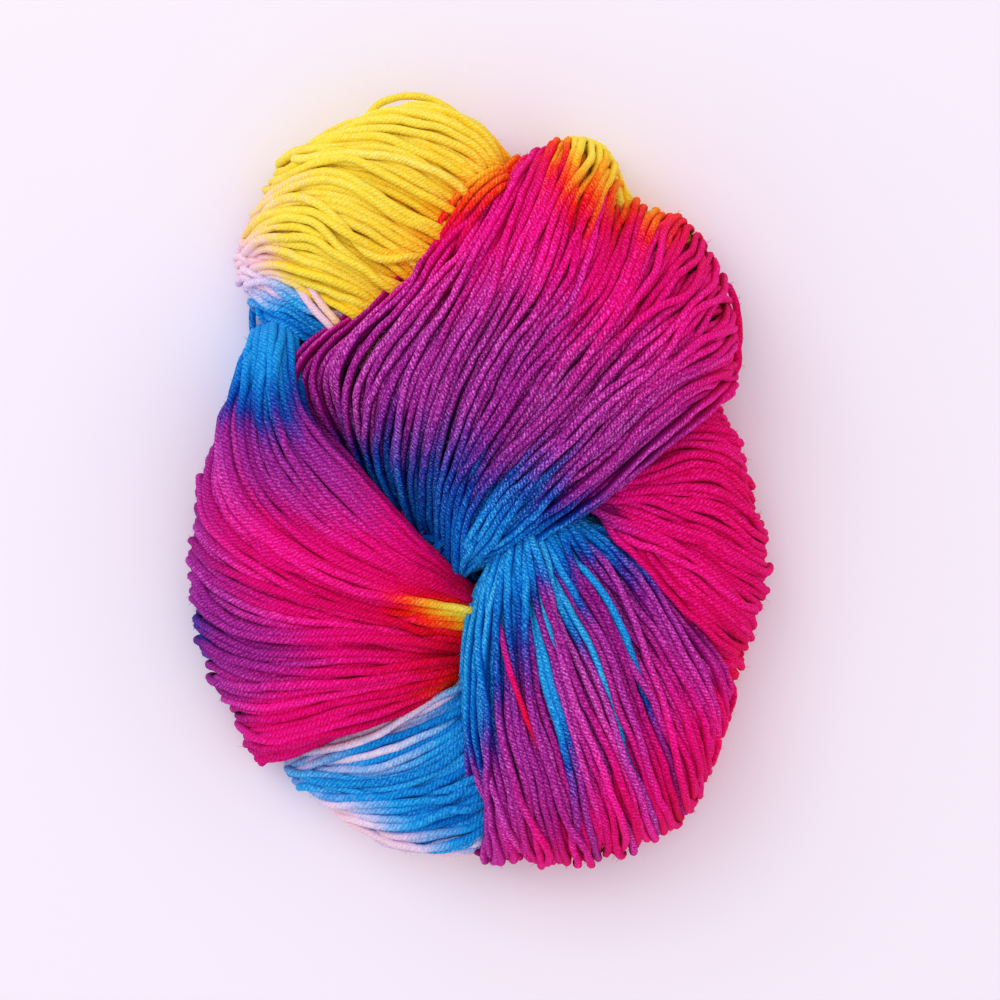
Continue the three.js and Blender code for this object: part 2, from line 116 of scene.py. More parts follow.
        (((16, -11.1), (24.2, -27.8), (33.2, -46), (41.2, -67.3), (45.2, -89.8)), (31, 35.5, 10, 0), (0.82, 0.77, 0.62, 0.55, 0.44, 0.37, 0.32)),
        (((20, -8.8), (32.2, -24.8), (43, -42.3), (52, -61.8), (54.8, -80.3)), (30, 33, 10, 0), (0.81, 0.77, 0.64, 0.55, 0.46, 0.39, 0.33)),
        (((24.5, -6.5), (38, -16.8), (47.2, -28.3), (56.2, -39.8), (63, -51.8)), (28, 29, 10, 0), (0.80, 0.78, 0.74, 0.60, 0.55, 0.50, 0.44)),
    ]),
    "inner": dict(shoulder=0.55, roll=5, tuck=0, drop=0, turns=[
        (((28, -19.8), (40.5, -39.8), (47.5, -58.5), (48.5, -71.8), (46.5, -82.8)), (25, 27, 8, 0), (0.50, 0.48, 0.46, 0.40, 0.35, 0.33, 0.31)),
        (((30.5, -17.3), (43.5, -34.8), (53, -52.3), (56.5, -64.3), (55.5, -73.5)), (25, 26, 8, 0), (0.50, 0.48, 0.46, 0.39, 0.34, 0.32, 0.31)),
        (((33, -16.1), (45.5, -29.8), (55.5, -42.3), (61, -52.3), (62.5, -58.8)), (25, 25, 8, 0), (0.48, 0.46, 0.44, 0.39, 0.36, 0.35, 0.34)),
    ]),
    "right": dict(shoulder=0.52, roll=5.5, tuck=9, drop=3, turns=[
        (((27, 3.2), (37, 10.7), (46, 16.4), (53.5, 19.7), (59.5, 20.4)), (20, 17, 9, 0), (0.54, 0.51, 0.48, 0.42, 0.38, 0.37, 0.36)),
        (((27.5, 0.7), (38, 7.2), (47.5, 12.2), (56.2, 15.2), (62.8, 15.4)), (25, 23, 10, 0), (0.56, 0.53, 0.50, 0.42, 0.39, 0.37, 0.36)),
        (((28, -1.3), (39.5, 3.2), (49.2, 7), (58.5, 8.4), (66.8, 7.2)), (27, 27, 10, 0), (0.56, 0.51, 0.46, 0.39, 0.37, 0.36, 0.35)),
        (((28.2, -3), (40.5, -1.6), (51.8, -0.3), (61, 0.2), (69.5, -2.8)), (27, 28, 10, 0), (0.55, 0.50, 0.44, 0.38, 0.36, 0.35, 0.34)),
        (((28.8, -4.8), (41.8, -6.8), (53, -9.3), (63.5, -12.3), (72.5, -14.3)), (27, 28, 10, 0), (0.54, 0.49, 0.43, 0.38, 0.36, 0.35, 0.35)),
        (((29.5, -6.8), (41.8, -12.3), (53.5, -18.6), (64, -24.1), (73.2, -24.8)), (27, 27.5, 10, 0), (0.54, 0.48, 0.42, 0.38, 0.36, 0.37, 0.37)),
        (((31.5, -9.8), (43, -18.8), (53, -27.3), (62.5, -32.8), (71.2, -33.8)), (27, 27, 10, 0), (0.54, 0.48, 0.42, 0.38, 0.36, 0.36, 0.36)),
        (((33.5, -12.3), (43, -22.3), (53, -33.8), (60, -40.8), (67, -42.3)), (27, 26, 9, 0), (0.52, 0.47, 0.42, 0.38, 0.35, 0.34, 0.33)),
        (((35.5, -14.8), (44.2, -26.1), (52.5, -37.3), (58, -45.3), (62.2, -50.3)), (26, 24, 9, 0), (0.50, 0.46, 0.42, 0.38, 0.34, 0.30, 0.26)),
    ]),
    "behind": dict(shoulder=0.5, roll=4, tuck=2, drop=0, turns=[
        (((17.8, 79.2), (21, 84), (29.5, 83.5), (37.8, 71.2), (54.5, 59.5)), (15, 16, 8, 0), (0.14, 0.05, 0.02, 0.01, 0.00, 0.02, 0.04)),
        (((19.2, 75.7), (21.8, 80.7), (28.5, 80.2), (35.8, 67.7), (52, 55.2)), (17, 18, 8, 0), (0.16, 0.07, 0.03, 0.02, 0.02, 0.03, 0.05)),
        (((21.2, 71.7), (23.2, 76.7), (28.5, 76.2), (34, 64.7), (47.5, 49.7)), (18, 18, 9, 0), (0.18, 0.10, 0.05, 0.04, 0.06, 0.08, 0.10)),
        (((23, 66.5), (25.5, 72.7), (29, 72.2), (33, 60.7), (43, 45.2)), (17, 17, 9, 0), (0.24, 0.18, 0.14, 0.14, 0.14, 0.14, 0.14)),
    ]),
}

# how each lobe's turns lie: distance between neighbours, sideways wander, lift
# out of the layer, broad folds of the whole layer, waves towards the rim, how dark
# the painted shade makes the flanks of its strands where they face each other
# (this also sets the contrast of the fibre grain), how far they swell together, how
# slowly the layer rises from its root, where along it its underside comes down
# to the ground, shift of the dye from turn to turn, share of turns on which
# the root's colour runs on further, uneven fold length, share of turns that
# lie loose on top and cross their neighbours, bunches whose root colour runs on
# (listed turn, half width, how far), how dark the painted shade makes the roots
# where they dive into the pinch and how far the fold slants along the rim, both
# from the first listed turn to the last (slant in mm)
HABIT = {
    "upper": dict(pitch=2.00, wander=1.1, lift=0.70, fold=1.4, wavy=1.2, flank_shade=0.95, swell=1.01, rise=1.6, dye_shift=0.030, late=0.0, uneven=0.40, loose=0.34, deep_shade=(0.9, 0.9, 0.9, 0.8, 0.5, 0.2, 0.0, 0.0, 0.0), slant=(0, 0, 4, 6)),
    "crest": dict(pitch=1.80, wander=1.2, lift=0.42, fold=0.4, wavy=0.6, flank_shade=0.55, swell=1.14, dye_shift=0.030, late=0.0, uneven=0.8, loose=0.44, slant=(-2, -3, -4, 0)),
    "tuck": dict(pitch=1.90, wander=0.9, lift=0.50, fold=0.0, wavy=0.5, flank_shade=0.50, swell=1.02, dye_shift=0.060, late=0.0, uneven=0.6, loose=0.40, slant=(0, 0)),
    "left": dict(pitch=1.95, wander=0.8, lift=0.40, fold=0.8, wavy=0.3, flank_shade=0.25, swell=1.10, dye_shift=0.020, late=0.0, uneven=0.3, loose=0.24, deep_shade=(0.9, 0.8, 0.3, 0.0, 0.0, 0.5, 0.7, 0.4, 0.2), slant=(0, -3, -7, -5, 3)),
    "lower_left": dict(pitch=1.80, wander=0.9, lift=0.45, fold=0.5, wavy=0.4, flank_shade=0.20, swell=1.08, dye_shift=0.055, late=0.22, uneven=0.4, loose=0.34, slant=(0, -3, -3, 0)),
    "bottom": dict(pitch=2.02, wander=1.0, lift=0.60, fold=1.1, wavy=0.6, flank_shade=0.68, swell=1.02, land=0.5, dye_shift=0.040, late=0.10, uneven=0.4, loose=0.28, runs=((2.5, 0.13, 0.36), (3.02, 0.08, 0.27), (3.72, 0.12, 0.44), (4.42, 0.12, 0.38)), slant=(0, 3, 4, 5, 0)),
    "inner": dict(pitch=2.00, wander=0.9, lift=0.50, fold=0.4, wavy=0.4, flank_shade=0.50, swell=1.04, dye_shift=0.050, late=0.0, uneven=0.4, loose=0.15, slant=(0, 0)),
    "right": dict(pitch=1.95, wander=0.9, lift=0.50, fold=0.9, wavy=0.6, flank_shade=0.45, swell=1.06, dye_shift=0.035, late=0.0, uneven=0.4, loose=0.26, slant=(2, 5, 8, 6, 2)),
    "behind": dict(pitch=1.85, wander=0.8, lift=0.32, fold=0.3, wavy=0.3, flank_shade=0.70, swell=1.12, dye_shift=0.030, late=0.0, uneven=0.4, loose=0.30, slant=(0, 0)),
}

# loose turns that stand clear of the lobes: places on each (mm), then the dye
STRAYS = [
    (((54, 46, 15), (61.5, 50, 12), (65, 45, 9), (66.2, 38, 8), (65.4, 32, 8), (60, 27, 10)), (0.36, 0.36, 0.34, 0.34, 0.36, 0.38)),
    (((55, 38, 13), (62, 40, 11), (65.2, 36, 9), (65.6, 30, 8), (63.2, 26, 8), (58, 23, 10)), (0.38, 0.37, 0.35, 0.34, 0.36, 0.38)),
    (((52, 47, 16), (59, 49.5, 13), (62.8, 45, 10), (64.4, 39, 8), (61, 33, 9), (55, 30, 12)), (0.37, 0.37, 0.36, 0.36, 0.36, 0.36)),
    (((-50, 47, 5), (-56, 46.5, 4.2), (-57.6, 42.5, 3.2), (-57.4, 37, 2.6), (-55.6, 33, 3), (-50, 26, 6)), (0.80, 0.78, 0.77, 0.77, 0.77, 0.77)),
    (((-30, 84, 15), (-27.0, 93.2, 13), (-20, 97.2, 11.5), (-11.5, 96.4, 11), (-4, 91, 12), (2, 80, 14)), (0.01, 0.02, 0.03, 0.03, 0.05, 0.10)),
    (((-44, 65, 5), (-55, 64, 5), (-60.0, 59.5, 4.5), (-59.4, 53, 4), (-54, 48.5, 4), (-44, 45, 5)), (0.96, 0.94, 0.93, 0.93, 0.93, 0.92)),
    (((-44, 70, 5), (-54, 70, 5), (-58.6, 64.5, 5), (-58.4, 57, 4.5), (-54, 51, 4.5), (-44, 47, 5)), (0.97, 0.95, 0.94, 0.94, 0.93, 0.93)),
    (((-52.5, 57, 12), (-48.8, 53.2, 17), (-44.8, 48.5, 21), (-40.5, 42.5, 22.4), (-35.5, 37, 23), (-32.5, 33.5, 20)), (0.95, 0.94, 0.94, 0.94, 0.95, 0.97)),
    (((-50, 58, 12), (-46.5, 54, 17.5), (-42.8, 49.8, 21.6), (-38.6, 44, 23), (-34, 38.8, 23.6), (-31, 35, 20)), (0.96, 0.94, 0.95, 0.96, 0.98, 0.99)),
    (((4.5, -30, 31), (6.8, -42.3, 35.9), (9.4, -51, 36.1), (13.4, -61.5, 35.2), (17.8, -72, 32.2), (22.0, -84, 24)), (0.62, 0.50, 0.34, 0.27, 0.31, 0.38)),
    (((-12.0, 55.7, 30), (-6.5, 63.7, 31.5), (-2.5, 69.4, 32), (2.0, 73.7, 31.5), (6.5, 75.7, 30), (9.0, 73.7, 29)), (0.36, 0.26, 0.18, 0.14, 0.18, 0.28)),
    (((-10.0, 54.7, 32), (-4.5, 62.9, 33.5), (-0.5, 68.4, 34), (3.5, 72.4, 33.5), (7.5, 74.4, 32), (9.5, 72.2, 31)), (0.38, 0.29, 0.21, 0.17, 0.20, 0.30)),
    (((-8.0, 53.7, 33), (-2.8, 61.7, 35), (1.3, 67.2, 35.5), (5.0, 70.9, 35), (8.3, 72.7, 33.5), (10, 70.2, 32)), (0.40, 0.32, 0.25, 0.21, 0.24, 0.32)),
    (((-13.5, 56.7, 28), (-8.3, 64.7, 29), (-4.3, 70.5, 29.5), (0.5, 74.7, 29), (5.5, 77.0, 28), (8.5, 75.2, 27)), (0.34, 0.22, 0.15, 0.11, 0.14, 0.24)),
    (((-44, 36, 9), (-45.5, 33, 13), (-46.5, 27, 15), (-45.5, 20, 16), (-42, 13, 17), (-37, 6, 17)), (0.77, 0.74, 0.70, 0.68, 0.64, 0.60)),
    (((-42, 38, 9), (-43.5, 34, 13.5), (-44.5, 28, 16), (-43.8, 21, 17.5), (-40.5, 14, 18), (-36, 8, 18)), (0.77, 0.75, 0.72, 0.68, 0.66, 0.60)),
    (((-47, 36, 8), (-48.5, 31, 11), (-48.8, 25, 13), (-47.5, 18, 14), (-44.5, 11, 15), (-40, 4, 16)), (0.78, 0.75, 0.72, 0.70, 0.66, 0.62)),
]


# ------------------------------------------------------------------- helpers
def quarter_round(t):
    return np.sqrt(np.clip(1.0 - (1.0 - np.clip(t, 0.0, 1.0)) ** 2, 0.0, 1.0))


def smooth_step(t):
    t = np.clip(t, 0.0, 1.0)
    return t * t * (3.0 - 2.0 * t)


def knot_weights(t, n):
    """Weights of n knots for a smooth curve through them, at places t in 0..n-1."""
    t = np.clip(np.asarray(t, float), 0.0, n - 1.0)
    i = np.minimum(t.astype(int), n - 2)
    f = t - i
    wa = 0.5 * (-f + 2 * f ** 2 - f ** 3)
    wb = 0.5 * (2 - 5 * f ** 2 + 3 * f ** 3)
    wc = 0.5 * (f + 4 * f ** 2 - 3 * f ** 3)
    wd = 0.5 * (-f ** 2 + f ** 3)
    first, last = i == 0, i == n - 2
    wb = wb + np.where(first, 2 * wa, 0.0) - np.where(last, wd, 0.0)
    wc = wc - np.where(first, wa, 0.0) + np.where(last, 2 * wd, 0.0)
    wa = np.where(first, 0.0, wa)
    wd = np.where(last, 0.0, wd)
    w = np.zeros(t.shape + (n,))
    cells = np.indices(t.shape)
    for shift, part in ((-1, wa), (0, wb), (1, wc), (2, wd)):
        k = np.clip(i + shift, 0, n - 1)
        np.add.at(w, tuple(cells) + (k,), part)
    return w


def soft_noise(rng, shape, steps):
    """Smooth random field of the given shape; steps is the cell size on each axis."""
    out = None
    for axis_shape, step in ((shape, steps),):
        ni = max(2, int(math.ceil(shape[0] / step[0])) + 2)
        nj = max(2, int(math.ceil(shape[1] / step[1])) + 2)
        coarse = rng.standard_normal((ni, nj))
        wi = knot_weights(np.arange(shape[0]) / step[0] + rng.random(), ni)
        wj = knot_weights(np.arange(shape[1]) / step[1] + rng.random(), nj)
        out = wi @ coarse @ wj.T
    return out


def unit(v):
    return v / np.maximum(np.linalg.norm(v, axis=-1, keepdims=True), 1e-9)


# --------------------------------------------------- the skin of one lobe
SAMPLES = 96
_tau = np.linspace(0.0, 1.0, SAMPLES)
DYE_AT = (0.0, 0.12, 0.25, 0.5, 0.75, 0.88, 1.0)   # where the listed dyes stand
ALONG = np.where(_tau < 0.6, _tau * 1.2, 0.72 + 0.28 * np.sin(math.pi / 2 * (_tau - 0.6) / 0.4))


def turn_rows(lobe, rise, land):
    """x, y, top, underside, fold height, share and dye of each listed turn, at the sample places."""
    rows = []
    for places, heights, dyes in lobe["turns"]:
        knots = np.array(places, float)
        dense = knot_weights(np.linspace(0, 4, 200), 5) @ knots
        back = unit(dense[0] - dense[6]) * lobe["tuck"]
        if lobe["tuck"] > 0:
            lead = dense[0] + back[None] * np.linspace(1, 0, 20, endpoint=False)[:, None]
            dense = np.vstack([lead, dense])
        length = np.r_[0.0, np.cumsum(np.linalg.norm(np.diff(dense, axis=0), axis=1))]
        at = ALONG * length[-1]
        x = np.interp(at, length, dense[:, 0])
        y = np.interp(at, length, dense[:, 1])
        s = (at - lobe["tuck"]) / (length[-1] - lobe["tuck"])
        root, crown, tip, under = heights
        top = root + (crown - root) * np.sin(math.pi / 2 * np.clip(s / 0.5, 0, 1)) ** rise
        if lobe["tuck"] > 0:
            top = top - lobe["drop"] * smooth_step(-s * (length[-1] - lobe["tuck"]) / lobe["tuck"])
        dye = np.interp(s, DYE_AT, dyes)
        rows.append(np.stack([x, y, top, under * (1.0 - smooth_step((s - land) / 0.4)), np.full_like(x, tip), s, dye], axis=1))
    return np.array(rows)


def skin(lobe, rows, t):
    """Upper and lower skin points at row places t (strands, samples), with the dye."""
    w = knot_weights(t, len(rows))
    v = np.einsum("isj,jsc->isc", w, rows)
    x, y, top, under, tip, s, dye = np.moveaxis(v, -1, 0)
    first, last = rows[0], rows[-1]
    side = np.minimum(np.hypot(x - first[:, 0], y - first[:, 1]), np.hypot(x - last[:, 0], y - last[:, 1]))
    width = np.hypot(first[:, 0] - last[:, 0], first[:, 1] - last[:, 1])
    roll = quarter_round(side / np.minimum(lobe["roll"], 0.30 * width + 0.5))
    low = under - 1.2
    seam = (top + low) / 2 + (tip - (top + low) / 2) * np.clip((s - 0.5) / 0.5, 0, 1)
    fall_top = quarter_round((1 - s) / (1 - lobe["shoulder"]))
    fall_low = quarter_round((1 - s) / 0.2)
    z_top = seam + (top - seam) * roll * fall_top
    z_low = np.maximum(seam + (low - seam) * roll * fall_low, 0.0)
    return np.stack([x, y, z_top], -1), np.stack([x, y, z_low], -1), s, dye


BIT_REVERSED = np.array([0, 4, 2, 6, 1, 5, 3, 7]) / 8.0
LOOSE = 3


def smooth_rows(values, reach):
    """Running mean down the first axis."""
    pad = np.concatenate([np.repeat(values[:1], reach, 0), values, np.repeat(values[-1:], reach, 0)])
    total = np.concatenate([np.zeros_like(pad[:1]), np.cumsum(pad, axis=0)])
    return (total[2 * reach + 1:] - total[:-2 * reach - 1]) / (2 * reach + 1)


def make_lobe(name, lobe, seed):
    """The strands of one lobe: lists of places, skin normals and dye, by layer."""
    habit = HABIT[name]
    rng = np.random.default_rng(seed)
    rows = turn_rows(lobe, habit.get("rise", 1.0), habit.get("land", 9.0))
    span = len(rows) - 1.0

    # width of the skin for each step from turn to turn, at each sample
    cells = 400
    dense_t = np.linspace(0, span, cells)
    top, low, _, _ = skin(lobe, rows, np.repeat(dense_t[:, None], SAMPLES, axis=1))
    width = np.linalg.norm(np.gradient(top, dense_t, axis=0), axis=2)
    width = np.maximum(smooth_rows(width, 12), 0.8)
    middle = np.mean(rows[:, :, 5], axis=0)
    zone = (middle > 0.22) & (middle < 0.88)
    widest = width[:, zone].max(axis=1)
    reach = np.r_[0.0, np.cumsum((widest[1:] + widest[:-1]) / 2 * (dense_t[1] - dense_t[0]))]
    everyone = max(4, int(round(reach[-1] / habit["pitch"])))
    ramp = np.clip((middle - 0.55) / 0.45, 0, 1) ** 2

    strands = []
    shared = soft_noise(rng, (everyone, SAMPLES), (5.0, 26)) * habit["wander"]
    folds = soft_noise(rng, (everyone, SAMPLES), (5.5, 45)) * habit["fold"]
    folds = folds * (smooth_step(middle / 0.35) * (1.0 - 0.85 * smooth_step((middle - 0.6) / 0.3)))[None]
    for layer in (0, 1, 2, LOOSE):
        count = everyone if layer < LOOSE else max(2, int(round(everyone * habit["loose"])))
        base = (np.arange(count) + (0.75 if layer == 1 else 0.5)) / count
        spread = 0.12 if layer < LOOSE else 0.45
        base = np.clip(base + rng.uniform(-spread, spread, count) / count, 0.2 / count, 1 - 0.2 / count)
        t0 = np.interp(base * reach[-1], reach, dense_t)
        if layer < LOOSE:
            clump = shared if layer == 0 else soft_noise(rng, (count, SAMPLES), (5.0, 26)) * habit["wander"]
            own = soft_noise(rng, (count, SAMPLES), (1.0, 20)) * habit["wander"] * 0.75
        else:
            near = np.clip((base * everyone).astype(int), 0, everyone - 1)
            clump = shared[near]
            own = soft_noise(rng, (count, SAMPLES), (1.0, 30)) * (habit["wander"] * 1.1 + 1.3)
        cell = np.clip((t0 / span * (cells - 1)).astype(int), 0, cells - 1)
        here = width[cell]                                           # count x samples
        full = widest[cell][:, None]
        from_side = np.minimum(base, 1 - base)[:, None] * reach[-1]
        quiet = smooth_step(from_side / 7.0) * (0.25 + 0.75 * smooth_step(middle / 0.25))[None]
        waves = soft_noise(rng, (count, SAMPLES), (1.6, 11)) * habit["wavy"] * smooth_step((middle - 0.35) / 0.35)[None]
        shift = (clump + own + waves) * quiet / np.maximum(here, 0.35 * full)
        slant = np.interp(t0, np.linspace(0, span, len(habit["slant"])), habit["slant"])[:, None]
        slant = slant * smooth_step(from_side / 14.0) / full
        # painted shade: how dark the roots of each turn are painted where they dive into the pinch, from the first
        # listed turn to the last
        deep_shade = np.interp(t0, np.linspace(0, span, len(habit.get("deep_shade", (0, 0)))), habit.get("deep_shade", (0, 0)))
        lowest, highest = 0.2 * t0[:, None], span - 0.2 * (span - t0[:, None])
        t_top = np.clip(t0[:, None] + shift + slant * ramp[None], lowest, highest)
        t_low = np.clip(t0[:, None] + shift + slant * (2.0 - ramp)[None], 2.0 * lowest, span - 2.0 * (span - highest))

        top, _, s, dye = skin(lobe, rows, t_top)
        _, low, s_low, _ = skin(lobe, rows, t_low)
        path = np.concatenate([top, low[:, ::-1][:, 1:]], axis=1)
        step = 0.03 * span
        hi_top = skin(lobe, rows, np.clip(t_top + step, 0, span))[0]
        lo_top = skin(lobe, rows, np.clip(t_top - step, 0, span))[0]
        hi_low = skin(lobe, rows, np.clip(t_low + step, 0, span))[1]
        lo_low = skin(lobe, rows, np.clip(t_low - step, 0, span))[1]
        du = np.concatenate([hi_top - lo_top, (hi_low - lo_low)[:, ::-1][:, 1:]], axis=1)
        dv = np.gradient(path, axis=1)
        normal = unit(np.cross(du, dv))
        if np.median(normal[:, SAMPLES // 2, 2]) < 0:
            normal = -normal

        # where the fan narrows, the strands sink below one another in turn
        crowd = np.clip(YARN * 0.93 / habit["pitch"] * full / here, 1.0, 9.0)
        crowd = smooth_rows(crowd.T, 3).T
        rank = BIT_REVERSED[(np.arange(count) + layer * 3) % 8] + rng.uniform(-0.06, 0.06, count)
        level = layer if layer < LOOSE else 0
        if layer == LOOSE:
            rank = rng.uniform(-0.2, 0.5, count)
        depth = YARN / 2 + (level * crowd + rank[:, None] * (crowd - 1.0)) * SINK * YARN
        lift = soft_noise(rng, (count, SAMPLES), (1.0, 22)) * habit["lift"] * YARN * 0.5
        depth = depth + np.maximum(lift, -0.45 * YARN)
        near = np.clip((base * everyone).astype(int), 0, everyone - 1)
        depth = depth - np.maximum(folds[near], -2.2 * habit["fold"]) * smooth_step(from_side / 5.0)
        if layer == LOOSE:
            depth = depth - 0.80 * YARN * smooth_step(s / 0.2) * smooth_step((1.0 - s) / 0.12)
        uneven = rng.standard_normal(count) * habit["uneven"]
        rim = np.exp(-((1 - s) / 0.22) ** 2)
        depth = depth - np.clip(uneven, -1.6, 1.9)[:, None] * rim
        depth = np.concatenate([depth, depth[:, ::-1][:, 1:]], axis=1)
        s_loop = np.concatenate([s, 2.0 - s[:, ::-1][:, 1:]], axis=1)

        # the dye changes a little earlier or later on each turn
        push = rng.standard_normal(count) * habit["dye_shift"]
        late = (rng.random(count) < habit["late"]) & (from_side[:, 0] > 7.0)
        push = push - np.where(late, rng.uniform(0.10, 0.44, count), 0.0)
        for middle_turn, half_width, how_far in habit.get("runs", ()) if layer in (0, LOOSE) else ():
            push = np.where(np.abs(t0 - middle_turn) < half_width, -how_far + rng.normal(0, 0.02, count), push)
        push = push[:, None] + soft_noise(rng, (count, SAMPLES), (7, 40)) * habit["dye_shift"] * 0.5
        shifted = np.empty_like(dye)
        for i in range(count):
            shifted[i] = np.interp(ALONG + push[i], ALONG, dye[i])
        back = shifted[:, -1:] + np.clip((shifted[:, -1:] - shifted[:, ::-1][:, 1:]) * 0.8, -0.10, 0.10)
        dye_loop = np.concatenate([shifted, back], axis=1)

        place = path - normal * depth[..., None]
        for i in range(count):
            if layer in (1, 2) and from_side[i, 0] < 2.4:
                continue
            use = depth[i] < DEEPEST + 1.5 * habit["fold"]
            half = SAMPLES - 1
            start = half
            while start > 0 and use[start - 1]:
                start -= 1
            end = half
            limit = len(use) - 1 if layer == 0 else half + int(SAMPLES * (0.42 if layer < LOOSE else 0.25))
            while end < limit and use[end + 1]:
                end += 1
            seg = place[i, start:end + 1]
            if len(seg) < 6:
                continue
            length = np.r_[0.0, np.cumsum(np.linalg.norm(np.diff(seg, axis=0), axis=1))]
            # rings lie closer together on the upper side than underneath
            gap = np.where(s_loop[i, start:end + 1] < 1.12, STEP[level], STEP[level] * 1.5)
            rings = np.r_[0.0, np.cumsum(np.diff(length) * 2 / (gap[1:] + gap[:-1]))]
            n = max(6, int(round(rings[-1])))
            at = np.interp(np.linspace(0, rings[-1], n), rings, length)
            cols = lambda a: np.stack([np.interp(at, length, a[:, c]) for c in range(a.shape[1])], 1)
            s_at = np.interp(at, length, s_loop[i, start:end + 1])
            # painted shade on the flanks is made a little lighter towards the rim
            outer = smooth_step((s_at - 0.55) / 0.3)
            # painted shade on the roots is strongest where the turn begins and fades a little way along it
            strands.append(dict(
                lobe=name, layer=level,
                p=cols(seg), n=unit(cols(normal[i, start:end + 1])),
                dye=np.interp(at, length, dye_loop[i, start:end + 1]),
                flank_shade=habit["flank_shade"] * (1.0 - 0.30 * outer), swell=habit["swell"],
                deep_shade=deep_shade[i] * np.exp(-(np.maximum(s_at, 0.0) / 0.13) ** 2),
                ease=0.12 + 0.88 * smooth_step((np.minimum(s_at, 2 - s_at) + 0.02) / 0.16),
                tone=float(rng.normal(0, 1))))
    return strands


# ------------------------------------------------ letting the strands settle
def close_pairs(p, strand, rank, reach):
    """Pairs of ring centres closer than reach, other than near ones on one strand."""
    cell = np.floor((p - p.min(0)) / reach).astype(np.int64) + 1
    ny, nz = cell[:, 1].max() + 2, cell[:, 2].max() + 2
    key = (cell[:, 0] * ny + cell[:, 1]) * nz + cell[:, 2]
    order = np.argsort(key, kind="stable")
    skey = key[order]
    firsts, seconds = [], []
    for dx, dy, dz in ((0, 0, 0), (0, 0, 1), (0, 1, -1), (0, 1, 0), (0, 1, 1), (1, -1, -1), (1, -1, 0), (1, -1, 1),
                       (1, 0, -1), (1, 0, 0), (1, 0, 1), (1, 1, -1), (1, 1, 0), (1, 1, 1)):
        want = skey + (dx * ny + dy) * nz + dz
        lo = np.searchsorted(skey, want, "left")
        hi = np.searchsorted(skey, want, "right")
        number = hi - lo
        a = np.repeat(np.arange(len(p)), number)
        b = np.arange(number.sum()) - np.repeat(np.cumsum(number) - number, number) + np.repeat(lo, number)
        if (dx, dy, dz) == (0, 0, 0):
            keep = a < b
            a, b = a[keep], b[keep]
        a, b = order[a], order[b]
        keep = (strand[a] != strand[b]) | (np.abs(rank[a] - rank[b]) > 4)
        a, b = a[keep], b[keep]
        keep = ((p[a] - p[b]) ** 2).sum(1) < reach * reach
        firsts.append(a[keep])
        seconds.append(b[keep])
    return np.concatenate(firsts), np.concatenate(seconds)


def settle(strands, rounds):
    p0 = np.vstack([s["p"] for s in strands])
    sizes = np.array([len(s["p"]) for s in strands])
    strand = np.repeat(np.arange(len(strands)), sizes)
    starts = np.cumsum(sizes) - sizes
    rank = np.arange(len(p0)) - np.repeat(starts, sizes)
    before = np.where(rank > 0, np.arange(len(p0)) - 1, np.arange(len(p0)))
    after = np.where(rank < np.repeat(sizes, sizes) - 1, np.arange(len(p0)) + 1, np.arange(len(p0)))
    ease = np.concatenate([s["ease"] for s in strands])[:, None]
    move = np.zeros_like(p0)
    gap = YARN * 0.93
    for turn in range(rounds):
        p = p0 + move * ease
        if turn % 8 == 0:
            a, b = close_pairs(p, strand, rank, YARN * 1.35)
        d = p[a] - p[b]
        dist = np.sqrt((d * d).sum(1)) + 1e-6
        short = np.clip(gap - dist, 0, 0.6)
        push = d / dist[:, None] * (short * 0.28)[:, None]
        for c in range(3):
            move[:, c] += np.bincount(a, push[:, c], len(p0)) - np.bincount(b, push[:, c], len(p0))
        move = move * 0.5 + (move[before] + move[after]) * 0.25
        move *= 0.985
        far = np.linalg.norm(move, axis=1, keepdims=True)
        move *= np.minimum(1.0, 2.6 / np.maximum(far, 1e-6))
        low = p0[:, 2] + move[:, 2]
        move[:, 2] += np.maximum(YARN / 2 - low, 0)
    p = p0 + move * ease
    # small kinks, as in soft yarn that has been handled
    kink = np.random.default_rng(11).standard_normal(p.shape)
    kink = kink * 0.5 + (kink[before] + kink[after]) * 0.25
    p += kink * 0.17 * ease
    # the first rings dive, so a strand comes out from under its neighbours
    for s, start, size in zip(strands, starts, sizes):
        n = min(5, size // 2)
        dive = np.array([3.6, 2.5, 1.5, 0.7, 0.2])[:n, None] * unit(s["n"][:n])
        p[start:start + n] -= dive
        p[start + size - n:start + size] -= dive[::-1] if s["lobe"] == "stray" else np.array([0.2, 0.7, 1.5, 2.5, 3.6])[-n:, None] * unit(s["n"][-n:])
    p[:, 2] = np.maximum(p[:, 2], YARN / 2)
    for s, start, size in zip(strands, starts, sizes):
        s["p"] = p[start:start + size]
    return len(p0), len(a)


def spread(grid, mode=np.logical_or, fill=False):
    """Each cell joined with its six neighbours."""
    out = grid.copy()
    for axis in range(3):
        for way in (1, -1):
            moved = np.roll(grid, way, axis)
            edge = [slice(None)] * 3
            edge[axis] = 0 if way == 1 else -1
            moved[tuple(edge)] = fill
            out = mode(out, moved)
    return out


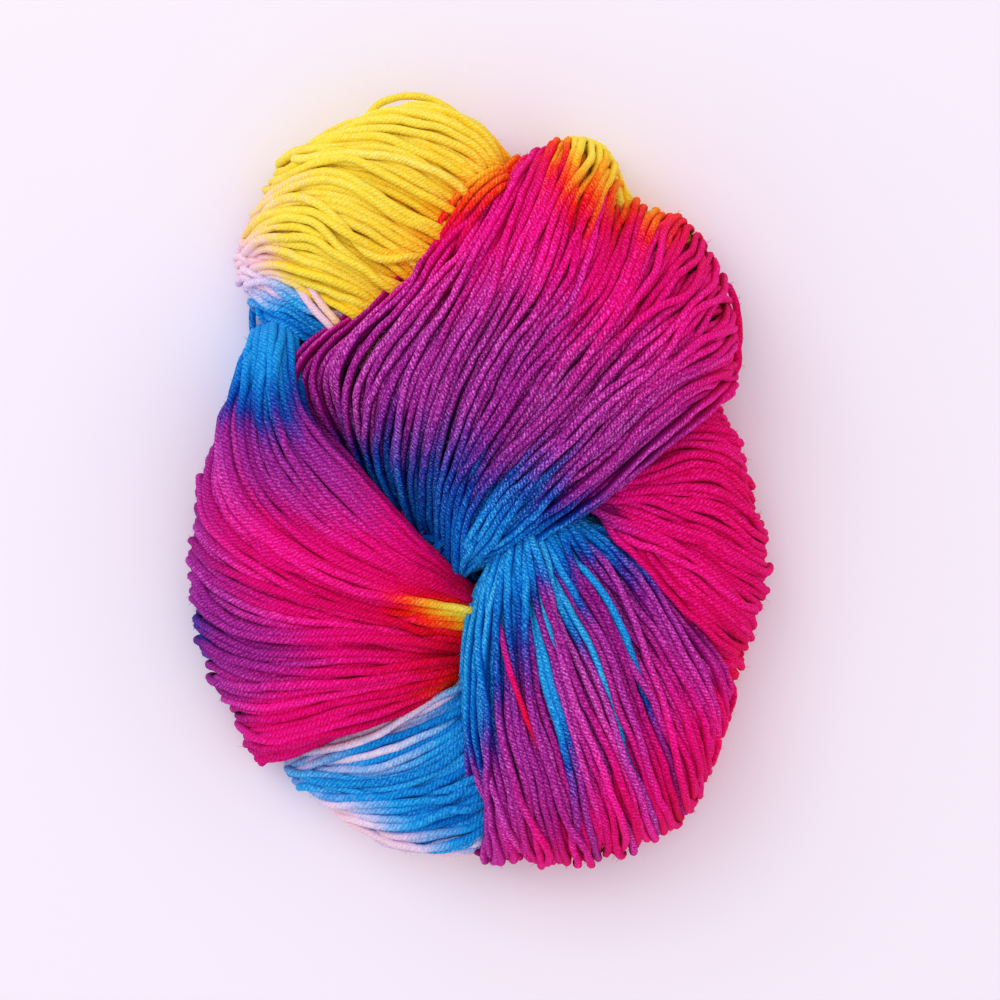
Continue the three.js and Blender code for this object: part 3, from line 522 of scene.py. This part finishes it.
def trim_hidden(strands, cell=2.4, keep=3):
    """Drops the stretches of yarn that lie deep inside, out of sight from every side."""
    p = np.vstack([s["p"] for s in strands])
    lo = p.min(0) - 4 * cell
    shape = np.ceil((p.max(0) - lo) / cell).astype(int) + 4
    place = tuple(((p - lo) / cell).astype(int).T)
    full = np.zeros(shape, bool)
    full[place] = True
    full = spread(spread(full), np.logical_and, True)
    open_air = np.zeros(shape, bool)
    open_air[0] = True
    while True:
        grown = spread(open_air) & ~full
        grown[0] = True
        if (grown == open_air).all():
            break
        open_air = grown
    near = open_air
    for _ in range(keep):
        near = spread(near)
    seen = near[place]
    kept = []
    start = 0
    for s in strands:
        size = len(s["p"])
        flags = seen[start:start + size].copy()
        start += size
        flags[1:] |= flags[:-1].copy()
        flags[:-1] |= flags[1:].copy()
        edges = np.flatnonzero(np.diff(np.r_[0, flags.astype(int), 0]))
        for a, b in zip(edges[::2], edges[1::2]):
            if b - a >= 5:
                part = dict(s)
                for key in ("p", "n", "dye", "ease", "flank_shade", "deep_shade"):
                    part[key] = s[key][a:b]
                kept.append(part)
    return kept


# ------------------------------------------------------------ strands to mesh
def ring_frames(p, n):
    t = np.gradient(p, axis=0)
    t = unit(t)
    n = unit(n - (n * t).sum(1, keepdims=True) * t)
    return t, n, np.cross(t, n)


def yarn_mesh(name, strands, rng):
    """One mesh of closed tubes, with a map along the yarn, a bake map and the dye."""
    blocks = []
    vert_base = 0
    total_area = 0.0
    for s in strands:
        layer = s["layer"]
        sides = SIDES[layer]
        detail = 1.0 if layer == 0 else 0.55
        length = np.r_[0.0, np.cumsum(np.linalg.norm(np.diff(s["p"], axis=0), axis=1))]
        total_area += length[-1] * math.pi * YARN * detail ** 2
    side = math.sqrt(total_area) * 1.06
    cursor_x, cursor_y, row_h = 0.0, 0.0, 0.0
    verts, dyes, tones, flank_shades, deep_shades = [], [], [], [], []
    quads, ends = [], []
    uv_yarn, uv_bake = [], []
    end_uv_yarn, end_uv_bake = [], []
    strips = []
    for s in sorted(strands, key=lambda q: q["layer"]):
        layer = s["layer"]
        sides = SIDES[layer]
        p, n = s["p"], s["n"]
        m = len(p)
        t, n, b = ring_frames(p, n)
        length = np.r_[0.0, np.cumsum(np.linalg.norm(np.diff(p, axis=0), axis=1))]
        angle = 2 * math.pi * (np.arange(sides) + 0.5) / sides + math.pi
        lump = np.clip(rng.standard_normal(m), -1.8, 1.8) * 0.035
        radius = YARN / 2 * s["swell"] * (1 + 0.03 * np.sin(length / 7.0 + s["tone"] * 9) + lump)
        ring = (p[:, None] + radius[:, None, None] * (np.cos(angle)[None, :, None] * n[:, None] + np.sin(angle)[None, :, None] * b[:, None]))
        verts.append(ring.reshape(-1, 3))
        dyes.append(np.repeat(s["dye"], sides))
        tones.append(np.full(m * sides, s["tone"]))
        flank_shades.append(np.repeat(s["flank_shade"], sides))
        deep_shades.append(np.repeat(s["deep_shade"], sides))
        k = np.arange(m - 1)[:, None] * sides + vert_base
        j = np.arange(sides)[None]
        jn = (j + 1) % sides
        quad = np.stack([k + j, k + jn, k + sides + jn, k + sides + j], axis=-1).reshape(-1, 4)
        quads.append(quad)
        # yarn map: round the strand, and millimetres along it
        off = (s["tone"] * 37.0) % 5.0
        u0 = np.broadcast_to((j + 0.5) / sides, (m - 1, sides))
        u1 = np.broadcast_to((j + 1.5) / sides, (m - 1, sides))
        v0 = np.broadcast_to((length[:-1, None] + off), (m - 1, sides))
        v1 = np.broadcast_to((length[1:, None] + off), (m - 1, sides))
        uv_yarn.append(np.stack([np.stack([u0, v0], -1), np.stack([u1, v0], -1), np.stack([u1, v1], -1), np.stack([u0, v1], -1)], axis=2).reshape(-1, 4, 2))
        # bake map: the strand cut into strips that fill rows of a square
        detail = 1.0 if layer == 0 else 0.55
        wide = math.pi * YARN * detail
        margin = 0.10 * YARN
        if row_h and abs(row_h - wide) > 1e-6:
            cursor_x, cursor_y = 0.0, cursor_y + row_h + margin
        row_h = wide
        seg = np.diff(length) * detail
        bake = np.empty((m - 1, sides, 4, 2))
        first = 0
        while first < m - 1:
            room = side - cursor_x
            run = np.cumsum(seg[first:])
            fit = int(np.searchsorted(run, room, "right"))
            if fit < 1 or (fit < 3 and fit < m - 1 - first):
                cursor_x, cursor_y = 0.0, cursor_y + wide + margin
                continue
            xs = cursor_x + np.r_[0.0, run[:fit]]
            ys = cursor_y + wide * np.arange(sides + 1) / sides
            block = bake[first:first + fit]
            block[:, :, 0, 0] = xs[:-1, None]; block[:, :, 0, 1] = ys[None, :-1]
            block[:, :, 1, 0] = xs[:-1, None]; block[:, :, 1, 1] = ys[None, 1:]
            block[:, :, 2, 0] = xs[1:, None]; block[:, :, 2, 1] = ys[None, 1:]
            block[:, :, 3, 0] = xs[1:, None]; block[:, :, 3, 1] = ys[None, :-1]
            cursor_x = xs[-1] + margin
            first += fit
        uv_bake.append(bake.reshape(-1, 4, 2))
        # closed ends
        ends.append((sides, np.arange(sides)[::-1] + vert_base, np.arange(sides) + vert_base + (m - 1) * sides, length[0] + off, length[-1] + off))
        vert_base += m * sides
    cap_y = cursor_y + row_h + margin
    cap_x = 0.0
    cap_r = 0.5
    cap_faces, cap_uy, cap_ub = [], [], []
    for sides, start, finish, v_start, v_end in ends:
        a = 2 * math.pi * np.arange(sides) / sides
        for loop, v in ((start, v_start), (finish, v_end)):
            if cap_x + 2 * cap_r + 0.1 > side:
                cap_x, cap_y = 0.0, cap_y + 2 * cap_r + 0.1
            cap_faces.append(loop)
            cap_uy.append(np.stack([np.arange(sides) / sides, np.full(sides, v)], 1))
            cap_ub.append(np.stack([cap_x + cap_r + cap_r * np.cos(a), cap_y + cap_r + cap_r * np.sin(a)], 1))
            cap_x += 2 * cap_r + 0.1
    full = max(side, cap_y + 2 * cap_r + 0.1)

    verts = np.vstack(verts) * MM
    quads = np.vstack(quads)
    loops = np.concatenate([quads.ravel()] + cap_faces)
    counts = np.concatenate([np.full(len(quads), 4), np.array([len(c) for c in cap_faces])])
    starts = np.concatenate([[0], np.cumsum(counts)[:-1]])
    mesh = bpy.data.meshes.new(name)
    mesh.vertices.add(len(verts))
    mesh.vertices.foreach_set("co", verts.astype(np.float32).ravel())
    mesh.loops.add(len(loops))
    mesh.loops.foreach_set("vertex_index", loops.astype(np.int32))
    mesh.polygons.add(len(counts))
    mesh.polygons.foreach_set("loop_start", starts.astype(np.int32))
    mesh.polygons.foreach_set("loop_total", counts.astype(np.int32))
    mesh.update(calc_edges=True)
    mesh.polygons.foreach_set("use_smooth", np.ones(len(counts), bool))
    bake_map = mesh.uv_layers.new(name="OFBake")
    ub = np.vstack([np.concatenate(uv_bake).reshape(-1, 2)] + cap_ub) / full
    bake_map.data.foreach_set("uv", ub.astype(np.float32).ravel())
    yarn_map = mesh.uv_layers.new(name="yarn")
    uy = np.vstack([np.concatenate(uv_yarn).reshape(-1, 2)] + cap_uy)
    yarn_map.data.foreach_set("uv", uy.astype(np.float32).ravel())
    # the dye, the random tone and the amounts of painted shade on flanks and roots go onto the points, for the material
    for label, values in (("dye", np.concatenate(dyes)), ("tone", np.concatenate(tones)), ("flank_shade", np.concatenate(flank_shades)), ("deep_shade", np.concatenate(deep_shades))):
        layer_data = mesh.attributes.new(label, "FLOAT", "POINT")
        layer_data.data.foreach_set("value", values.astype(np.float32))
    mesh.update()
    piece = bpy.data.objects.new(name, mesh)
    bpy.context.scene.collection.objects.link(piece)
    return piece


# ------------------------------------------------------------- loose fibres
def fuzz_mesh(name, strands, count, rng):
    """Fine curved fibres that stand off the strands, each a closed tapering sliver."""
    tops = [s for s in strands if s["layer"] == 0]
    p0 = np.vstack([s["p"][:-1] for s in tops])
    p1 = np.vstack([s["p"][1:] for s in tops])
    out = unit(np.vstack([s["n"][:-1] for s in tops]))
    dye = np.concatenate([s["dye"][:-1] for s in tops])
    run = np.linalg.norm(p1 - p0, axis=1)
    pick = np.sort(rng.choice(len(p0), count, p=run / run.sum()))
    along = unit(p1[pick] - p0[pick])
    out = unit(out[pick] - (out[pick] * along).sum(1, keepdims=True) * along)
    side = np.cross(along, out)
    turn = np.clip(rng.normal(0, 0.9, count), -2.2, 2.2)[:, None]
    away = np.cos(turn) * out + np.sin(turn) * side
    base = p0[pick] + (p1 - p0)[pick] * rng.random((count, 1)) + away * (YARN * 0.44)
    head = unit(away * rng.uniform(0.25, 0.9, (count, 1)) + along * rng.uniform(-1, 1, (count, 1)) + np.cross(along, away) * rng.normal(0, 0.45, (count, 1)))
    reach = (0.7 + rng.gamma(2.0, 0.38, count))[:, None]
    reach = np.minimum(reach, 2.8)
    bend = unit(head + rng.normal(0, 0.45, (count, 3)) - away * 0.25)
    middle = base + head * reach * 0.5
    tip = middle + bend * reach * 0.5
    tip[:, 2] = np.maximum(tip[:, 2], 0.1)
    middle[:, 2] = np.maximum(middle[:, 2], 0.2)
    a = unit(np.cross(head, out + 0.3 * side))
    b = np.cross(head, a)
    corner = 2 * math.pi * np.arange(3) / 3
    ring = np.cos(corner)[None, :, None] * a[:, None] + np.sin(corner)[None, :, None] * b[:, None]
    verts = np.concatenate([base[:, None] + ring * 0.065, middle[:, None] + ring * 0.050, tip[:, None]], axis=1)
    v = (np.arange(count) * 7)[:, None]
    quads = np.stack([v + np.array([[k, (k + 1) % 3, 3 + (k + 1) % 3, 3 + k]]) for k in range(3)], axis=1)
    tris = np.stack([v + np.array([[3 + k, 3 + (k + 1) % 3, 6]]) for k in range(3)] + [v + np.array([[2, 1, 0]])], axis=1)
    loops = np.concatenate([quads.ravel(), tris.ravel()])
    counts = np.concatenate([np.full(count * 3, 4), np.full(count * 4, 3)])
    starts = np.concatenate([[0], np.cumsum(counts)[:-1]])
    mesh = bpy.data.meshes.new(name)
    mesh.vertices.add(count * 7)
    mesh.vertices.foreach_set("co", (verts.reshape(-1, 3) * MM).astype(np.float32).ravel())
    mesh.loops.add(len(loops))
    mesh.loops.foreach_set("vertex_index", loops.astype(np.int32))
    mesh.polygons.add(len(counts))
    mesh.polygons.foreach_set("loop_start", starts.astype(np.int32))
    mesh.polygons.foreach_set("loop_total", counts.astype(np.int32))
    mesh.update(calc_edges=True)
    mesh.polygons.foreach_set("use_smooth", np.ones(len(counts), bool))
    # bake map: a small square for each fibre, its faces side by side in it
    grid = int(math.ceil(math.sqrt(count)))
    cell = np.stack([np.arange(count) % grid, np.arange(count) // grid], axis=1)[:, None, None]
    strips = np.array([[(0.10, y), (0.10, y + 0.18), (0.50, y + 0.18), (0.50, y)] for y in (0.08, 0.32, 0.56)])
    points = np.array([[(0.54, y), (0.54, y + 0.18), (0.92, y + 0.09)] for y in (0.08, 0.32, 0.56)] + [[(0.10, 0.80), (0.10, 0.94), (0.30, 0.87)]])
    flat = np.concatenate([((cell + strips[None]) / grid).reshape(-1, 2), ((cell + points[None]) / grid).reshape(-1, 2)])
    mesh.uv_layers.new(name="OFBake").data.foreach_set("uv", flat.astype(np.float32).ravel())
    data = mesh.attributes.new("dye", "FLOAT", "POINT")
    data.data.foreach_set("value", np.repeat(dye[pick], 7).astype(np.float32))
    mesh.update()
    piece = bpy.data.objects.new(name, mesh)
    bpy.context.scene.collection.objects.link(piece)
    return piece


# -------------------------------------------------------------------- the dye
def linear(r, g, b):
    conv = lambda c: c / 12.92 if c <= 0.04045 else ((c + 0.055) / 1.055) ** 2.4
    return tuple(conv(c / 255.0) for c in (r, g, b)) + (1.0,)


# dye steps round the skein's colour cycle
DYES = [
    (0.000, (255, 232, 88)),    # yellow
    (0.060, (255, 218, 64)),
    (0.115, (255, 172, 34)),    # orange
    (0.165, (255, 100, 26)),
    (0.220, (246, 44, 30)),     # red
    (0.280, (230, 10, 70)),     # crimson
    (0.350, (226, 10, 112)),    # magenta
    (0.440, (228, 14, 132)),
    (0.500, (196, 34, 144)),
    (0.560, (172, 44, 150)),    # purple
    (0.630, (156, 42, 150)),
    (0.670, (98, 50, 156)),     # indigo
    (0.700, (30, 66, 166)),
    (0.760, (14, 118, 204)),    # blue
    (0.830, (38, 164, 232)),    # light blue
    (0.880, (146, 186, 236)),
    (0.920, (234, 212, 238)),   # pale pink
    (0.960, (250, 214, 218)),
    (0.980, (255, 222, 150)),
    (1.000, (255, 226, 72)),
]


def fill_ramp(ramp):
    elements = ramp.color_ramp.elements
    elements[0].position, elements[0].color = DYES[0][0], linear(*DYES[0][1])
    elements[1].position, elements[1].color = DYES[-1][0], linear(*DYES[-1][1])
    for place, colour in DYES[1:-1]:
        e = elements.new(place)
        e.color = linear(*colour)


def fibre_material():
    """Single fibres let light through, so they are paler than the strand."""
    mat = bpy.data.materials.new("dyed_fibre")
    mat.use_nodes = True
    nt = mat.node_tree
    bsdf = nt.nodes["Principled BSDF"]
    bsdf.inputs["Roughness"].default_value = 0.9
    bsdf.inputs["Specular IOR Level"].default_value = 0.04
    dye = nt.nodes.new("ShaderNodeAttribute"); dye.attribute_name = "dye"
    wrap = nt.nodes.new("ShaderNodeMath"); wrap.operation = "FRACT"
    lead = nt.nodes.new("ShaderNodeMath"); lead.operation = "ADD"; lead.inputs[1].default_value = 2.0
    ramp = nt.nodes.new("ShaderNodeValToRGB")
    fill_ramp(ramp)
    soft = nt.nodes.new("ShaderNodeGamma"); soft.inputs["Gamma"].default_value = 0.72
    nt.links.new(dye.outputs["Fac"], lead.inputs[0])
    nt.links.new(lead.outputs[0], wrap.inputs[0])
    nt.links.new(wrap.outputs[0], ramp.inputs[0])
    nt.links.new(ramp.outputs[0], soft.inputs["Color"])
    nt.links.new(soft.outputs[0], bsdf.inputs["Base Color"])
    return mat


def yarn_material():
    mat = bpy.data.materials.new("dyed_yarn")
    mat.use_nodes = True
    nt = mat.node_tree
    for n in list(nt.nodes):
        nt.nodes.remove(n)
    add = nt.nodes.new
    link = nt.links.new

    def math_node(op, a, b=None, c=None, clamp=False):
        node = add("ShaderNodeMath")
        node.operation = op
        node.use_clamp = clamp
        for k, v in enumerate((a, b, c)):
            if v is None:
                continue
            if isinstance(v, (int, float)):
                node.inputs[k].default_value = v
            else:
                link(v, node.inputs[k])
        return node.outputs[0]

    out = add("ShaderNodeOutputMaterial")
    bsdf = add("ShaderNodeBsdfPrincipled")
    link(bsdf.outputs[0], out.inputs[0])
    bsdf.inputs["Roughness"].default_value = 0.85
    bsdf.inputs["Specular IOR Level"].default_value = 0.04
    bsdf.inputs["Sheen Weight"].default_value = 0.02
    bsdf.inputs["Sheen Roughness"].default_value = 0.5
    bsdf.inputs["Sheen Tint"].default_value = (1.0, 0.85, 0.95, 1.0)

    uv = add("ShaderNodeUVMap"); uv.uv_map = "yarn"
    sep = add("ShaderNodeSeparateXYZ"); link(uv.outputs[0], sep.inputs[0])
    u, v = sep.outputs[0], sep.outputs[1]
    dye = add("ShaderNodeAttribute"); dye.attribute_name = "dye"
    tone = add("ShaderNodeAttribute"); tone.attribute_name = "tone"
    flank_shade = add("ShaderNodeAttribute"); flank_shade.attribute_name = "flank_shade"
    pinch_shade = add("ShaderNodeAttribute"); pinch_shade.attribute_name = "deep_shade"

    # plies: helical ridges round the strand, with an uneven twist
    sway_at = add("ShaderNodeCombineXYZ")
    link(math_node("MULTIPLY", v, 0.30), sway_at.inputs[0])
    link(math_node("MULTIPLY", tone.outputs["Fac"], 7.0), sway_at.inputs[1])
    sway = add("ShaderNodeTexNoise")
    sway.inputs["Scale"].default_value = 1.0
    sway.inputs["Detail"].default_value = 1.0
    link(sway_at.outputs[0], sway.inputs["Vector"])
    turn = math_node("ADD", math_node("MULTIPLY", u, float(PLIES)), math_node("MULTIPLY", v, PLIES / LAY))
    turn = math_node("ADD", turn, math_node("MULTIPLY", sway.outputs["Fac"], 2.2))
    ridge = math_node("ADD", math_node("MULTIPLY", math_node("COSINE", math_node("MULTIPLY", turn, 2 * math.pi)), 0.5), 0.5)

    # fibres: tufts about half a millimetre wide, drawn out along each ply
    round_mm = math_node("MULTIPLY", u, math.pi * YARN)
    across_ply = math_node("ADD", math_node("MULTIPLY", round_mm, 0.57), math_node("MULTIPLY", v, 0.82))
    along_ply = math_node("SUBTRACT", math_node("MULTIPLY", round_mm, 0.82), math_node("MULTIPLY", v, 0.57))
    coords = add("ShaderNodeCombineXYZ")
    link(math_node("MULTIPLY", across_ply, 2.3), coords.inputs[0])
    link(math_node("MULTIPLY", along_ply, 1.7), coords.inputs[1])
    link(math_node("MULTIPLY", tone.outputs["Fac"], 13.0), coords.inputs[2])
    fibre = add("ShaderNodeTexNoise")
    fibre.inputs["Scale"].default_value = 1.0
    fibre.inputs["Detail"].default_value = 2.0
    fibre.inputs["Roughness"].default_value = 0.6
    link(coords.outputs[0], fibre.inputs["Vector"])
    tuft = math_node("ADD", math_node("MULTIPLY", math_node("SUBTRACT", fibre.outputs["Fac"], 0.5), 3.4), 0.5, clamp=True)

    # painted shade: the flanks, turned to the neighbouring strands, are painted darker and deeper in colour, standing
    # in for the shade between strands
    around = math_node("COSINE", math_node("MULTIPLY", math_node("SUBTRACT", u, 0.5), 2 * math.pi))
    face = add("ShaderNodeMapRange")
    face.interpolation_type = "SMOOTHSTEP"
    face.inputs["From Min"].default_value = -0.30
    face.inputs["From Max"].default_value = 0.92
    link(around, face.inputs["Value"])

    fleck = add("ShaderNodeTexNoise")
    fleck_at = add("ShaderNodeCombineXYZ")
    link(math_node("MULTIPLY", u, 4.0), fleck_at.inputs[0])
    link(math_node("MULTIPLY", v, 0.8), fleck_at.inputs[1])
    link(math_node("MULTIPLY", tone.outputs["Fac"], 29.0), fleck_at.inputs[2])
    fleck.inputs["Scale"].default_value = 1.0
    fleck.inputs["Detail"].default_value = 2.0
    link(fleck_at.outputs[0], fleck.inputs["Vector"])

    # dye, with a mottled front where one colour runs into the next
    shift = math_node("MULTIPLY", math_node("SUBTRACT", fleck.outputs["Fac"], 0.5), 0.055)
    step = math_node("FRACT", math_node("ADD", math_node("ADD", dye.outputs["Fac"], shift), 2.0))
    ramp = add("ShaderNodeValToRGB")
    fill_ramp(ramp)
    link(step, ramp.inputs[0])

    # painted light and shade of the plies and fibres over their own uneven grain: painted highlight where fibres stand
    # up, painted shade in the grooves between them
    contrast = math_node("ADD", math_node("MULTIPLY", flank_shade.outputs["Fac"], 0.30), 0.30)
    grain_and_shade = math_node("MULTIPLY", math_node("SUBTRACT", tuft, 0.5), contrast)
    grain_and_shade = math_node("ADD", grain_and_shade, math_node("MULTIPLY", ridge, 0.24))
    grain_and_shade = math_node("ADD", grain_and_shade, math_node("ADD", math_node("MULTIPLY", flank_shade.outputs["Fac"], 0.08), 0.41))
    # painted shade on the flanks, where they face the neighbouring strands
    shade_on_flanks = math_node("MULTIPLY", math_node("SUBTRACT", 1.0, face.outputs[0]), flank_shade.outputs["Fac"])
    light = math_node("MULTIPLY", grain_and_shade, math_node("SUBTRACT", 1.0, shade_on_flanks))
    light = math_node("ADD", light, math_node("MULTIPLY", tone.outputs["Fac"], 0.055))
    # painted shade: the roots are painted dark where they dive under their neighbours
    light = math_node("SUBTRACT", light, math_node("MULTIPLY", pinch_shade.outputs["Fac"], 0.52), clamp=True)
    # painted shade: where the painted light is low, the dye is made deeper in colour and darker
    deep_shade = add("ShaderNodeGamma")
    link(ramp.outputs[0], deep_shade.inputs["Color"])
    link(math_node("SUBTRACT", 1.85, math_node("MULTIPLY", light, 1.38)), deep_shade.inputs["Gamma"])
    # painted shade is weaker on pale colours, which let light through, so they hardly darken
    split = add("ShaderNodeSeparateColor")
    link(ramp.outputs[0], split.inputs[0])
    clear = math_node("MULTIPLY", split.outputs[1], 1.5, clamp=True)
    level = math_node("ADD", math_node("MULTIPLY", light, 0.76), 0.68)
    level = math_node("ADD", level, math_node("MULTIPLY", clear, math_node("SUBTRACT", 1.06, level)))
    shade = add("ShaderNodeMix"); shade.data_type = "RGBA"; shade.blend_type = "MULTIPLY"
    shade.clamp_result = True
    shade.inputs[0].default_value = 1.0
    grey = add("ShaderNodeCombineColor")
    for k in range(3):
        link(level, grey.inputs[k])
    link(deep_shade.outputs[0], shade.inputs[6])
    link(grey.outputs[0], shade.inputs[7])
    link(shade.outputs[2], bsdf.inputs["Base Color"])

    # relief of the plies and fibres
    height = math_node("ADD", math_node("MULTIPLY", ridge, 0.55), math_node("MULTIPLY", tuft, 0.55))
    bump = add("ShaderNodeBump")
    bump.inputs["Strength"].default_value = 0.7
    bump.inputs["Distance"].default_value = 0.00030
    link(height, bump.inputs["Height"])
    link(bump.outputs[0], bsdf.inputs["Normal"])
    rough = add("ShaderNodeMapRange")
    rough.inputs["To Min"].default_value = 0.95
    rough.inputs["To Max"].default_value = 0.68
    link(fibre.outputs["Fac"], rough.inputs["Value"])
    link(rough.outputs[0], bsdf.inputs["Roughness"])
    return mat


# ----------------------------------------------------------------- build it
def build():
    strands = []
    for k, (name, lobe) in enumerate(LOBES.items()):
        strands += make_lobe(name, lobe, 100 + k)
    for k, (places, dyes) in enumerate(STRAYS):
        knots = np.array([tuple(place) + (dye,) for place, dye in zip(places, dyes)])
        dense = knot_weights(np.linspace(0, len(knots) - 1, 160), len(knots)) @ knots
        dye, dense = dense[:, 3], dense[:, :3]
        length = np.r_[0.0, np.cumsum(np.linalg.norm(np.diff(dense, axis=0), axis=1))]
        n = int(length[-1] / STEP[0]) + 1
        at = np.linspace(0, length[-1], n)
        p = np.stack([np.interp(at, length, dense[:, c]) for c in range(3)], 1)
        strands.append(dict(lobe="stray", layer=0, p=p, n=np.tile([0.1, 0.05, 1.0], (n, 1)),
                            dye=np.interp(at, length, dye), ease=np.full(n, 0.5), flank_shade=np.full(n, 0.4), deep_shade=np.zeros(n), swell=0.8 if k == 9 else 1.0, tone=0.3 * (k % 7) - 1.0))
    nodes, pairs = settle(strands, 56)
    print("strands", len(strands), "rings", nodes, "pairs", pairs)
    strands = trim_hidden(strands)
    print("strands left", len(strands), "rings", sum(len(s["p"]) for s in strands))
    mat = yarn_material()
    rng = np.random.default_rng(5)
    total = 0
    for name in list(LOBES) + ["stray"]:
        for part, layers in (("", (0,)), ("_inner", (1, 2))):
            mine = [s for s in strands if s["lobe"] == name and s["layer"] in layers]
            if not mine:
                continue
            piece = yarn_mesh("yarn_" + name + part, mine, rng)
            piece.data.materials.append(mat)
            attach(piece, "root")
            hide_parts("yarn_skein")
            sides = np.zeros(len(piece.data.polygons), np.int32)
            piece.data.polygons.foreach_get("loop_total", sides)
            tris = int((sides - 2).sum())
            total += tris
            print(piece.name, "strands", len(mine), "triangles", tris)
    fuzz = fuzz_mesh("yarn_fuzz", strands, 14000, rng)
    fuzz.data.materials.append(fibre_material())
    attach(fuzz, "root")
    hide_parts("yarn_skein")
    print("all triangles about", total + 140000)


build()

# ------------------------------------------------------- floor, light, camera
def plain(name, colour, rough):
    mat = bpy.data.materials.new(name)
    mat.use_nodes = True
    b = mat.node_tree.nodes["Principled BSDF"]
    b.inputs["Base Color"].default_value = colour
    b.inputs["Roughness"].default_value = rough
    b.inputs["Specular IOR Level"].default_value = 0.1
    return mat


floor_mesh = bpy.data.meshes.new("floor")
R = 4.0
floor_mesh.from_pydata([(-R, -R, 0), (R, -R, 0), (R, R, 0), (-R, R, 0)], [], [(0, 1, 2, 3)])
floor = bpy.data.objects.new("floor", floor_mesh)
bpy.context.scene.collection.objects.link(floor)
floor.data.materials.append(plain("pale_floor", linear(244, 238, 250), 0.9))


def area_light(name, place, target, size, power, colour):
    data = bpy.data.lights.new(name, "AREA")
    data.shape = "DISK"
    data.size = size
    data.energy = power
    data.color = colour
    obj = bpy.data.objects.new(name, data)
    obj.location = place
    obj.rotation_euler = (Vector(target) - Vector(place)).to_track_quat("-Z", "Y").to_euler()
    bpy.context.scene.collection.objects.link(obj)


area_light("key", (-0.85, 0.80, 1.15), (0, 0, 0.02), 1.20, 6.6, (0.905, 0.985, 1.0))
area_light("fill", (0.3, 0.2, 1.5), (0, 0, 0.02), 1.6, 2.0, (0.99, 0.98, 1.0))

scene = bpy.context.scene
world = bpy.data.worlds.new("room")
scene.world = world
world.use_nodes = True
world.node_tree.nodes["Background"].inputs[0].default_value = (0.965, 0.912, 0.938, 1.0)
world.node_tree.nodes["Background"].inputs[1].default_value = 0.88
scene.view_settings.view_transform = "Standard"
scene.view_settings.look = "None"

camera_data = bpy.data.cameras.new("camera")
camera_data.lens = 100.0
camera_data.sensor_width = 36.0
camera_data.clip_start = 0.01
camera = bpy.data.objects.new("camera", camera_data)
camera.location = (0.0055, -0.0048, 0.020 + 0.250 / 0.36)
camera.rotation_euler = (0.0, 0.0, 0.0)
scene.collection.objects.link(camera)
scene.camera = camera
